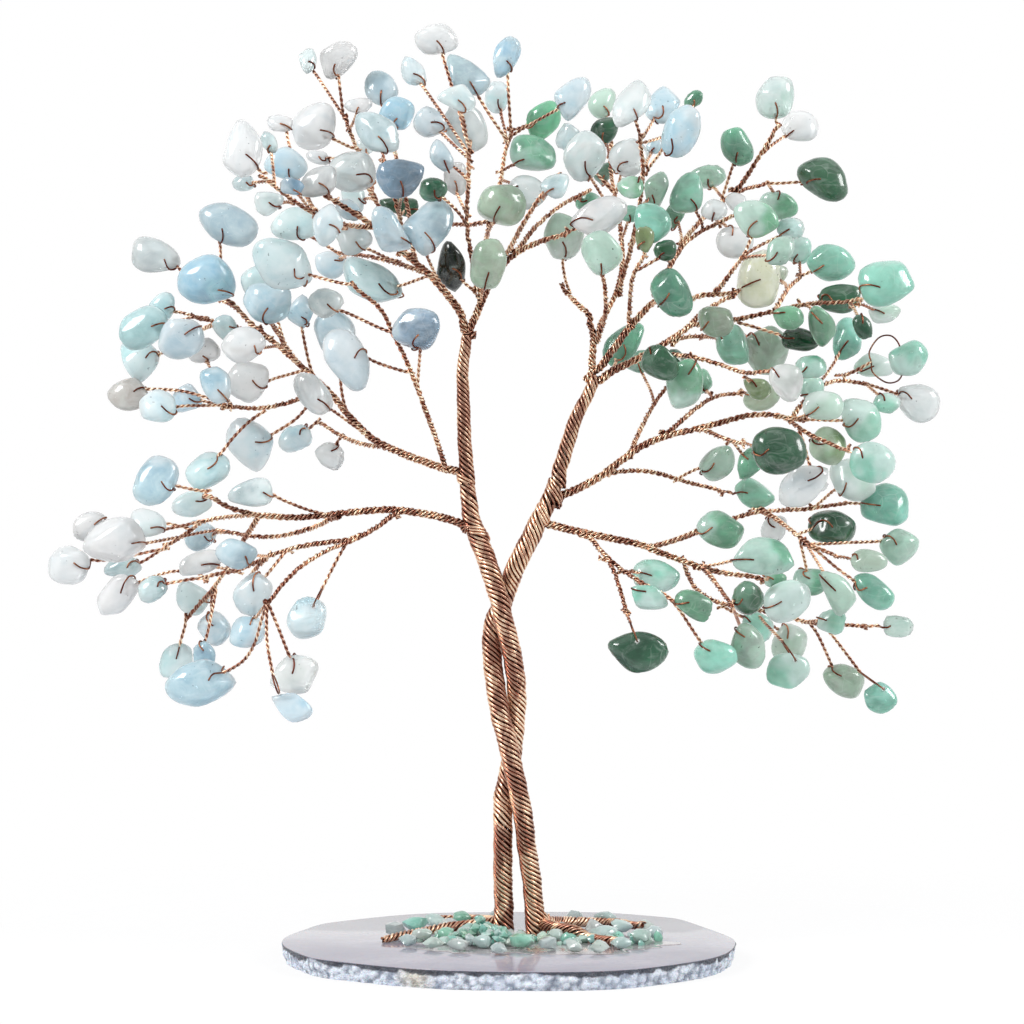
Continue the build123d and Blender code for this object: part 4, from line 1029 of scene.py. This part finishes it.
def grooveMarks(mesh, paths):
    # how far each side of a wire faces away from its bundle: 1 on the crest, 0 between wires; the copper takes its
    # painted highlight on crests and painted shade between wires from this
    if not paths:
        return [wireLook["looseMark"]] * len(mesh.vertices)
    centres = []
    for path in {id(p): p for p in paths}.values():
        centres += [(point, wayAt(path, n)) for n, point in enumerate(path)]
    tree = pointTree([place for place, _ in centres])
    marks = []
    for corner in mesh.vertices:
        place, n, _ = tree.find(corner.co)
        along = centres[n][1]
        away = corner.co - place
        away -= along * away.dot(along)
        facing = corner.normal.dot(away.normalized()) if away.length > 1e-6 else 0.0
        # a cut end is neither crest nor groove
        cutEnd = abs(corner.normal.dot(along)) > wireLook["endFacing"]
        marks.append(wireLook["looseMark"] if cutEnd else facing)
    return marks


def pointTree(points):
    tree = kdtree.KDTree(len(points))
    for n, point in enumerate(points):
        tree.insert(point, n)
    tree.balance()
    return tree


def cornerTree(nodes):
    return pointTree([corner.co.copy() for node in nodes for corner in frame["nodes"][node].data.vertices])


def wirePiece(name, lines, finish, body, nodes):
    # each line is its points, its wire's radius in millimetres, and its bundle's centre line:
    # none for a loose wire, and in a tuple where it is wrapped round another piece
    shape = bmesh.new()
    marks = []
    for kind in (list, tuple, type(None)):
        chosen = [line for line in lines if isinstance(line[2], kind)]
        if not chosen:
            continue
        curve = bpy.data.curves.new(name, "CURVE")
        curve.dimensions = "3D"
        curve.bevel_depth = millimetre
        curve.bevel_resolution = wireLook["sides"]
        curve.use_fill_caps = True
        for points, radius, _ in chosen:
            spline = curve.splines.new("POLY")
            spline.points.add(len(points) - 1)
            for target, point in zip(spline.points, points):
                target.co = (*point, 1)
                target.radius = radius
        holder = addObject(name + "_line", curve)
        mesh = settledMesh(holder)
        bpy.data.objects.remove(holder)
        paths = [centre for _, _, centre in chosen if centre]
        marks += grooveMarks(mesh, [p[0] for p in paths] if kind is tuple else paths)
        shape.from_mesh(mesh)
        bpy.data.meshes.remove(mesh)
    piece = newPiece(name, shape)
    piece.data.materials.clear()
    piece.data.materials.append(finish)
    piece.data.attributes.new("groove", "FLOAT", "POINT").data.foreach_set("value", marks)
    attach(piece, body)
    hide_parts(*nodes)


def stretchEnds(points, ends):
    first, last = ends
    out = list(points)
    if first:
        out[0] = out[0] + (out[0] - out[1]).normalized() * first * millimetre
    if last:
        out[-1] = out[-1] + (out[-1] - out[-2]).normalized() * last * millimetre
    return out


def lengthOf(path):
    return sum((b - a).length for a, b in zip(path, path[1:]))


def ropeLines(points, width, look):
    # one layer of wires on a core, for a bundle of this half width, thinning towards its end
    wire = look["wire"] * millimetre
    ring = max(width - wire, wire)
    slope = math.cos(math.radians(look["slant"]))
    count = max(3, round(2 * math.pi * ring * slope / (wireLook["laidGap"] * wire)))
    path = smoothRoute(points, wireLook["step"] * millimetre)
    total = lengthOf(path)
    flare, flareLength = look["flare"]

    def spread(run):
        thin = max(0, run / total - look["taperFrom"]) / (1 - look["taperFrom"])
        return 1 + (look["tip"] - 1) * thin + flare * math.exp(-run / (flareLength * millimetre))

    lines = [(line, look["wire"], path) for line in laidWires(path, count, ring, look["slant"], 0.0, spread)]
    core = ring * look["tip"] - wireLook["core"] * wire
    if core > wireLook["leastCore"] * wire:
        lines.append((path, core / millimetre, path))
    return lines


# how wide a gap parts the rings of corners along each kind of tube
ringGaps = {"root": 0.4, "limb": 0.34, "twig": 0.25}


def pairLines(points, width, tip):
    # a bundle of twisted pairs, wound loosely round each other; pairs end as the bundle thins
    pair = wireLook["pairRadius"] * wireLook["radius"] * millimetre
    ring = max(width - pair, 0.8 * pair)
    slope = math.cos(math.radians(wireLook["pairSlant"]))
    count = max(2, round(2 * math.pi * ring * slope / (wireLook["pairGap"] * pair)))
    path = smoothRoute(points, wireLook["step"] * millimetre)
    total = lengthOf(path)

    def spread(run):
        return 1 + (tip - 1) * run / total

    lines = []
    start = random.uniform(0, 2 * math.pi)
    for route in laidWires(path, count, ring, wireLook["pairSlant"], start, spread, 0.12):
        lines += twigLines(route)
    leastRing, coreLength = wireLook["pairCore"]
    if ring > leastRing * pair:
        core = (ring - wireLook["core"] * pair) / millimetre
        lines.append((path[: int(coreLength * len(path))], core, path))
    return lines


trunkPaths = []


def nearestOf(path, place):
    return min(range(len(path)), key=lambda n: (path[n] - place).length)


def wrapLines(points, width):
    # a limb's wires run on round the trunk: down and to the right, as the trunk's own wires lie
    gaps = []
    for path, trunkWidth in trunkPaths:
        nearest = path[nearestOf(path, points[0])]
        gaps.append(((nearest - points[0]).length - trunkWidth, path, trunkWidth))
    gap, path, trunkWidth = min(gaps, key=lambda found: found[0])
    if gap > wrapLook["reach"] * millimetre:
        return []
    dense = smoothRoute(points, wrapLook["startStep"] * millimetre)
    start = [p for p in dense if min((p - q).length for q in path) > trunkWidth][0]
    n = nearestOf(path, start)
    wire = wrapLook["wire"] * millimetre
    sideways = frames(path)
    offset = start - path[n]
    angle = math.atan2(offset.dot(sideways[n][1]), offset.dot(sideways[n][0]))
    down = start.x < path[n].x
    way = 1 if down else -1
    look = wrapLook["down" if down else "up"]
    slant = math.radians(look["slant"])
    pace = (path[1] - path[0]).length
    around = trunkWidth * look["proud"]
    length = look["turns"] * 2 * math.pi * around / math.tan(slant)
    least, most = wrapLook["count"]
    count = max(least, min(most, round(width / wire)))
    lines = []
    for k in range(count):
        line = []
        last = 1 - wrapLook["stagger"] * ((k * 2) % 5)
        shift = (k - count / 2) * 2.0 * wire / math.sin(slant)
        for step in range(wrapLook["steps"] + 1):
            share = step / wrapLook["steps"]
            run = share * last * length
            place = n + (shift * min(1, wrapLook["fanning"] * share) - way * run) / pace
            if not 0 <= place <= len(path) - 1.01:
                break
            m = int(place)
            point = path[m].lerp(path[m + 1], place - m)
            side, front = sideways[m]
            here = angle + way * run * math.tan(slant) / around
            sink = sum(depth * max(0, (share - begin) / (end - begin)) for depth, begin, end in wrapLook["sinks"])
            lift = around + wire * look["lift"] * math.sin(math.pi * min(1, 2 * share)) - wire * sink
            line.append(point + (side * math.cos(here) + front * math.sin(here)) * lift)
        if len(line) > wrapLook["shortest"]:
            lines.append((line, wrapLook["wire"], (path,)))
    return lines


wrapLook = {
    "wire": 0.27,
    "reach": 1.2,
    "startStep": 0.2,
    "count": (3, 6),
    "steps": 60,
    "shortest": 8,
    "fanning": 5,
    "stagger": 0.06,
    # how deep both ends sink, and the shares of the length between which they do
    "sinks": ((2.6, 0.7, 1), (3.2, 0.12, 0)),
    "down": {"turns": 0.72, "slant": 58, "proud": 1.02, "lift": 0.7},
    "up": {"turns": 0.5, "slant": 54, "proud": 1.01, "lift": 0.5},
}


trunkNodes = ["left_trunk_strand", "right_trunk_strand", "left_upper_trunk", "right_upper_trunk"]


def makeTrunk(finish):
    for node in trunkNodes:
        source = weldedCopy(node)
        kind = "trunk" if "strand" in node else "upper"
        points, width = risingRoute(source, wireLook["level"] * millimetre)
        source.free()
        points = stretchEnds(points, wireLook[kind + "Ends"])
        wirePiece(node + "_rope", ropeLines(points, width, wireLook[kind]), finish, "tree", [node])
        share = wireLook["upperShare"] if kind == "upper" else 1
        trunkPaths.append((smoothRoute(points, wireLook["step"] * millimetre), width * share))


def makeRoots(finish):
    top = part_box("agate_slice")[1].z
    for node in ("front_left_root", "back_left_root", "front_right_root", "back_right_root"):
        source = weldedCopy(node)
        points, width = routeOf(separateBodies(source)[0], ringGaps["root"] * millimetre)
        source.free()
        if points[0].z < points[-1].z:
            points.reverse()
        points = stretchEnds(points, wireLook["rootEnds"])
        lines = ropeLines(points, wireLook["rootShare"] * width, wireLook["root"])
        for line, radius, _ in lines:
            for point in line:
                point.z = max(point.z, top + radius * millimetre)
        wirePiece(node + "_wires", lines, finish, "tree", [node])


def makeBranches(limb, finish, trunkTree):
    node = limb + "_branches"
    source = weldedCopy(node)
    lines = []
    for group in separateBodies(source):
        points, width = routeOf(group, ringGaps["limb"] * millimetre)
        thick = width > wireLook["thickFrom"] * millimetre
        # the thick end is the one nearer the trunk
        if trunkTree.find(points[0])[2] > trunkTree.find(points[-1])[2]:
            points.reverse()
        if thick:
            lines += wrapLines(points, width)
        points = stretchEnds(points, wireLook["limbEnds"])
        lines += pairLines(points, width * wireLook["limbShare"], wireLook["limbTip" if thick else "branchTip"])
    source.free()
    wirePiece(node + "_wires", lines, finish, "tree", [node])


# where a hook's hole lies, how it bows sideways, and how it lies on the chip's face
gripLook = {
    "inset": (0.5, 0.85),
    "deepest": 3.2,
    "upright": 0.9,
    "bow": 0.42,
    "start": (1.2, 0.4),
    "shares": (0.2, 0.45, 0.7, 0.88),
    "proud": 0.7,
    "bulge": 1.6,
    "mouth": (0.3, -2.5),
    "step": 0.3,
}


def singleWire(points, step):
    return (smoothRoute(points, step * millimetre), wireLook["thin"] * wireLook["radius"], None)


def grip(chip, tip):
    # one wire goes over the chip's face to a hole in it, through it, and back behind
    wire = wireLook["radius"] * millimetre
    outward = (tip - chip.centre).normalized()
    front = Vector((0, -1, 0))
    front = (front - outward * front.dot(outward) * gripLook["upright"]).normalized()
    half = (chip.skin(outward) - chip.centre).length
    inset = min(gripLook["deepest"] * millimetre, random.uniform(*gripLook["inset"]) * half)
    hole = chip.skin(outward) - outward * inset
    bow = outward.cross(front) * random.uniform(-gripLook["bow"], gripLook["bow"])
    first, second = gripLook["start"]
    hooks = []
    for facing in (front, -front):
        mouth = chip.exit(hole, facing)
        towards = (mouth - chip.centre).normalized()
        over = [tip + outward * first * wire, tip + outward * second * wire + facing * wire]
        for share in gripLook["shares"]:
            arch = share * (1 - share)
            direction = (outward.lerp(towards, share) + bow * 4 * arch).normalized()
            over.append(chip.skin(direction, wire * (gripLook["proud"] + gripLook["bulge"] * arch)))
        over += [mouth + facing * wire * depth for depth in gripLook["mouth"]]
        hooks.append(singleWire(over, gripLook["step"]))
    return hooks


def twigLines(points):
    ring = wireLook["twigRing"] * wireLook["radius"] * millimetre
    path = smoothRoute(points, wireLook["fineStep"] * millimetre)
    lay = wireLook["twigLay"] * random.uniform(*wireLook["twigDrift"]) * millimetre
    slant = math.degrees(math.atan(2 * math.pi * ring / lay))
    laid = laidWires(path, 2, ring, slant, random.uniform(0, 2 * math.pi), jitter=0)
    return [(line, wireLook["radius"], path) for line in laid]


def makeTwigs(limb, finish, chips, branchTree, hinges):
    node = limb + "_twigs"
    source = weldedCopy(node)
    lines = []
    gripped = set()
    for group in separateBodies(source):
        near = min(hinges, key=lambda h: min((c.co - Vector(h["pos_m"])).length for c in group))
        pinned = min((c.co - Vector(near["pos_m"])).cross(Vector(near["axis"])).length for c in group)
        if pinned < loopLook["pinned"] * millimetre and len(group) > loopLook["corners"]:
            lines += loopLines(group, near)
            continue
        points, _ = routeOf(group, ringGaps["twig"] * millimetre)
        ends = []
        for end in (points[0], points[-1]):
            gaps = [(end - c.skin((end - c.centre).normalized())).length for c in chips]
            gap = min(gaps)
            ends.append((gap - 0.5 * branchTree.find(end)[2], chips[gaps.index(gap)]))
        if ends[0][0] < ends[1][0]:
            points.reverse()
            ends.reverse()
        chip = ends[1][1]
        lines += twigLines(stretchEnds(points, wireLook["twigEnds"]))
        if id(chip) not in gripped:
            gripped.add(id(chip))
            lines += grip(chip, points[-1])
    source.free()
    wirePiece(node + "_wires", lines, finish, "tree", [node])


loopLook = {
    "pinned": 0.3,
    "corners": 40,
    "pinReach": 0.6,
    "stemFrom": 1.2,
    "closing": 0.7,
    "stemGap": 1.0,
    "pinInset": 0.2,
    # along the pin's half length and towards the apex, each as a share
    "bend": ((0.45, 1), (0.95, 0.62)),
    "cornerRise": 0.22,
    "seat": 0.55,
}


def loopLines(group, hinge):
    # a stem, and the open loop that goes through the hanging chip's hole
    centre = Vector(hinge["pos_m"])
    axis = Vector(hinge["axis"]).normalized()
    away = {c: (c.co - centre).cross(axis).length for c in group}
    pin = max(abs((c.co - centre).dot(axis)) for c in group if away[c] < loopLook["pinReach"] * millimetre)
    outer = [c for c in group if away[c] > loopLook["stemFrom"] * millimetre]
    closest = min(away[c] for c in outer)
    around = [c.co for c in outer if away[c] < closest + loopLook["closing"] * millimetre]
    apex = sum(around, Vector()) / len(around)
    stem = [c for c in outer if away[c] > closest - 0.1 * millimetre]
    points, _ = routeOf(stem, ringGaps["twig"] * millimetre)
    if (points[0] - centre).length < (points[-1] - centre).length:
        points.reverse()
    points = [p for p in points if (p - apex).length > loopLook["stemGap"] * millimetre] + [apex]
    lines = twigLines(stretchEnds(points, wireLook["stemEnds"]))
    rise = apex - centre
    for side in (1, -1):
        corner = centre + axis * (pin - loopLook["pinInset"] * millimetre) * side
        bend = [apex]
        bend += [centre + rise * up + axis * side * out * pin for out, up in loopLook["bend"]]
        bend += [corner + rise * loopLook["cornerRise"], centre + axis * side * loopLook["seat"] * pin, centre]
        lines.append(singleWire(bend, wireLook["fineStep"]))
    return lines


sliceLook = {
    "around": 600,
    "rows": 13,
    "wall": 0.9,  # a face is part of the side where its normal rises less than this
    "corner": 60,
    "spread": 1.03,
    "bevel": 0.35,
    "lowerBevel": (0.03, 0.08, 0.05),
    "firstRow": 0.08,
    "rimStart": 0.1,
    "grains": ((1.6, 0.55), (0.7, 0.35), (0.35, 0.18)),
    "rimDepth": 0.6,
    "lump": 0.5,
    "lumpSize": 1.15,
    "lumpReach": 0.75,
    "lumpMiddle": 0.35,
    "lumpStart": 5,
    "undercut": 0.7,
    "sharp": 40,  # degrees
}


def sliceRadius(source, centre):
    # how far the solid's side lies from the centre at each angle, its corners a little rounded
    sides = []
    for face in source.faces:
        if abs(face.normal.z) < sliceLook["wall"]:
            outward = Vector((face.normal.x, face.normal.y, 0)).normalized()
            distance = outward.dot(face.calc_center_median() - centre)
            sides.append((outward.x, outward.y, abs(distance)))
    sides = np.array(sides)
    power = sliceLook["corner"]

    def radius(angle):
        shares = np.maximum(sides[:, :2] @ np.array((math.cos(angle), math.sin(angle))), 0) / sides[:, 2]
        return float((shares**power).sum() ** (-1 / power)) * sliceLook["spread"]

    return radius


def crystalRelief(angle, reach, z, share):
    # how far the crystals stand out at a place on the side, and their lump
    at = Vector((math.cos(angle) * reach, math.sin(angle) * reach, z)) / millimetre
    rough = sum(height * noise.noise(at / size) for size, height in sliceLook["grains"])
    rough *= sliceLook["rimDepth"] * millimetre
    lump = max(0, sliceLook["lumpReach"] - noise.voronoi(at / sliceLook["lumpSize"])[0][0])
    start = min(1, sliceLook["lumpStart"] * share)
    rough += sliceLook["lump"] * millimetre * (lump - sliceLook["lumpMiddle"]) * start
    return rough - (share**2) * sliceLook["undercut"] * millimetre, lump


def makeSlice(finish):
    source = weldedCopy("agate_slice")
    source.normal_update()
    low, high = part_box("agate_slice")
    centre = (low + high) / 2
    radius = sliceRadius(source, centre)
    source.free()
    shape = bmesh.new()
    rimLayer = shape.verts.layers.float.new("rim")
    lumpLayer = shape.verts.layers.float.new("lump")
    first = bmesh.ops.create_circle(shape, segments=sliceLook["around"], radius=1.0, cap_ends=True)["verts"]
    reaches = []
    for corner in first:
        angle = math.atan2(corner.co.y, corner.co.x)
        reaches.append((angle, radius(angle)))
    reaches.sort()
    # each level's share of the way down, its inset and its rim value
    share, inset, rim = sliceLook["lowerBevel"]
    levels = [(0.0, sliceLook["bevel"] * millimetre, 0.0), (share, inset * millimetre, rim)]
    for n in range(sliceLook["rows"]):
        share = sliceLook["firstRow"] + (1 - sliceLook["firstRow"]) * n / (sliceLook["rows"] - 1)
        levels.append((share, 0.0, sliceLook["rimStart"] + (1 - sliceLook["rimStart"]) * share))
    ring = sorted(first, key=lambda v: math.atan2(v.co.y, v.co.x))
    for n, (share, inset, rim) in enumerate(levels):
        if n:
            last = set(ring)
            edges = [e for e in shape.edges if last.issuperset(e.verts) and (n > 1 or len(e.link_faces) == 1)]
            made = bmesh.ops.extrude_edge_only(shape, edges=edges)["geom"]
            ring = [g for g in made if isinstance(g, bmesh.types.BMVert)]
            ring.sort(key=lambda v: math.atan2(v.co.y - centre.y, v.co.x - centre.x))
        for corner, (angle, reach) in zip(ring, reaches):
            z = high.z - share * (high.z - low.z)
            rough, lump = crystalRelief(angle, reach, z, share) if n > 2 else (0.0, 0.0)
            away = reach - inset + rough
            corner.co = (centre.x + math.cos(angle) * away, centre.y + math.sin(angle) * away, max(z, low.z))
            corner[rimLayer] = rim
            corner[lumpLayer] = lump
    bmesh.ops.holes_fill(shape, edges=[e for e in shape.edges if e.is_boundary])
    bmesh.ops.recalc_face_normals(shape, faces=shape.faces)
    piece = newPiece("agate_slice_polished", shape)
    piece.data.set_sharp_from_angle(angle=math.radians(sliceLook["sharp"]))
    piece.data.materials.append(finish)
    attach(piece, "tree")
    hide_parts("agate_slice")


glueLook = {
    "edge": 7,
    "growth": 1.04,
    "ripple": (0.05, 2.4),
    # a thin film on the slice: its middle, half widths and half thickness, and its edge's waves
    "middle": (5.5, -7.0),
    "half": (22.0, 13.0, 0.25),
    "waves": ((5, 1, 0.09), (11, 0, 0.05), (23, 2, 0.03)),
    "filmRipple": (0.3, 9),
}


def makeGlue(finish):
    source = weldedCopy("glue_patch")
    chip = Chip([corner.co.copy() for corner in source.verts], glueLook["edge"], glueLook["growth"], 0)
    source.free()
    shape = bmesh.new()
    height, size = glueLook["ripple"]
    for corner in bmesh.ops.create_icosphere(shape, subdivisions=4, radius=1.0)["verts"]:
        direction = corner.co.normalized()
        reach = chip.reach(direction)
        ripple = 1 + height * noise.noise((chip.centre + direction * reach) / (size * millimetre))
        corner.co = chip.centre + direction * reach * ripple
    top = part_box("agate_slice")[1].z
    middleX, middleY = (part * millimetre for part in glueLook["middle"])
    x, y, rise = (part * millimetre for part in glueLook["half"])
    height, size = glueLook["filmRipple"]
    for corner in bmesh.ops.create_icosphere(shape, subdivisions=5, radius=1.0)["verts"]:
        direction = corner.co.normalized()
        angle = math.atan2(direction.y, direction.x)
        edge = 1 + sum(wave * math.sin(count * angle + start) for count, start, wave in glueLook["waves"])
        corner.co = (
            middleX + direction.x * x * edge,
            middleY + direction.y * y * edge,
            top + direction.z * rise * (1 + height * noise.noise(direction * size)),
        )
    piece = newPiece("glue_patch_set", shape)
    piece.data.materials.append(finish)
    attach(piece, "tree")
    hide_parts("glue_patch")


def makeStage():
    shape = bmesh.new()
    bmesh.ops.create_circle(shape, cap_ends=True, segments=64, radius=view["floorRadius"])
    floor = newPiece("paleFloor", shape)
    look = Finish("paleFloor")
    look.surface({"Base Color": paint(view["floorColour"]), "Roughness": 0.9})
    away = look.add("ShaderNodeVectorMath", {"operation": "LENGTH"}, {0: look.place()}, output="Value")
    glow = look.add("ShaderNodeLightPath", output="Is Camera Ray") * view["floorGlow"]
    matte = Value(look, look.shader.outputs[0])
    lit = look.add("ShaderNodeMixShader", inputs={0: glow, 1: matte, 2: look.add("ShaderNodeEmission")})
    clear = look.add("ShaderNodeBsdfTransparent")
    blend = look.add("ShaderNodeMixShader", inputs={0: look.ranged(away, *view["floorFade"]), 1: lit, 2: clear})
    look.feed(look.nodes["Material Output"].inputs["Surface"], blend)
    floor.data.materials.append(look.material)


def makeRoom():
    # white to the camera, to glossy rays and through glass; the room in front is darker, which metal shows
    world = bpy.data.worlds.new("paleRoom")
    bpy.context.scene.world = world
    world.use_nodes = True
    room = Web(world.node_tree)
    kinds = ("Is Camera Ray", "Is Glossy Ray", "Is Transmission Ray")
    camera, glossy, glass = (room.add("ShaderNodeLightPath", output=kind) for kind in kinds)
    bare = camera.sum("MAXIMUM", camera.sum("MAXIMUM", camera, glossy), glass)
    way = room.add("ShaderNodeTexCoord", output="Generated")
    ahead = room.add("ShaderNodeSeparateXYZ", inputs={0: way}, output="Y")
    dark = room.ranged(ahead, *view["darkFront"], 0, view["frontDepth"]) * glossy
    back = room.nodes["Background"]
    back.inputs["Color"].default_value = (1, 1, 1, 1)
    room.feed(back.inputs["Strength"], room.ranged(bare, 0, 1, view["skyFill"]) - dark)


def family(node):
    if "swinging" in node:
        return "blue" if node.startswith(("long", "diamond")) else "green"
    return [word for word in ("blue", "clear", "green") if word in node][0]


setCamera()
for name, (place, watts) in view["lamps"].items():
    softLamp(name, place, watts)
makeStage()
makeRoom()
bpy.context.scene.view_settings.view_transform = "Standard"
print("camera, lamps and floor are set")

finishes = {name: stoneFinish(name + "Stone", *look) for name, look in stoneKinds.items()}
copper = copperFinish("copperWire")
makeSlice(agateFinish("agateSlice"))
makeGlue(glueFinish("setGlue"))
print("slice and glue are made")


def surfaceTree(nodes):
    corners, faces = [], []
    for node in nodes:
        mesh = frame["nodes"][node].data
        faces += [[len(corners) + n for n in face.vertices] for face in mesh.polygons]
        corners += [corner.co.copy() for corner in mesh.vertices]
    return bvhtree.BVHTree.FromPolygons(corners, faces)


hinges = frame["joints"]
nodes = sorted(frame["nodes"])
everything = surfaceTree(nodes)
withoutTwigs = surfaceTree([node for node in nodes if not node.endswith("_twigs")])
allChips = []
for node in nodes:
    if node.endswith("_stones"):
        allChips += makeChips(node, "tree", finishes[family(node)], None, withoutTwigs)
    elif node.endswith("_swinging_stone"):
        hinge = [h for h in hinges if h["child"] == node][0]
        makeChips(node, node, finishes[family(node)], hinge, everything)
print("chips are made:", len(allChips))

makeTrunk(copper)
makeRoots(copper)
limbs = [node[: -len("_branches")] for node in nodes if node.endswith("_branches")]
branchTree = cornerTree([limb + "_branches" for limb in limbs])
trunkTree = cornerTree(trunkNodes)
for limb in limbs:
    makeBranches(limb, copper, trunkTree)
    makeTwigs(limb, copper, allChips, branchTree, hinges)
print("wires are made")
solids = [thing for thing in bpy.data.objects if thing.type == "MESH" and not thing.hide_render]
print("triangles:", sum(len(face.vertices) - 2 for thing in solids for face in thing.data.polygons))
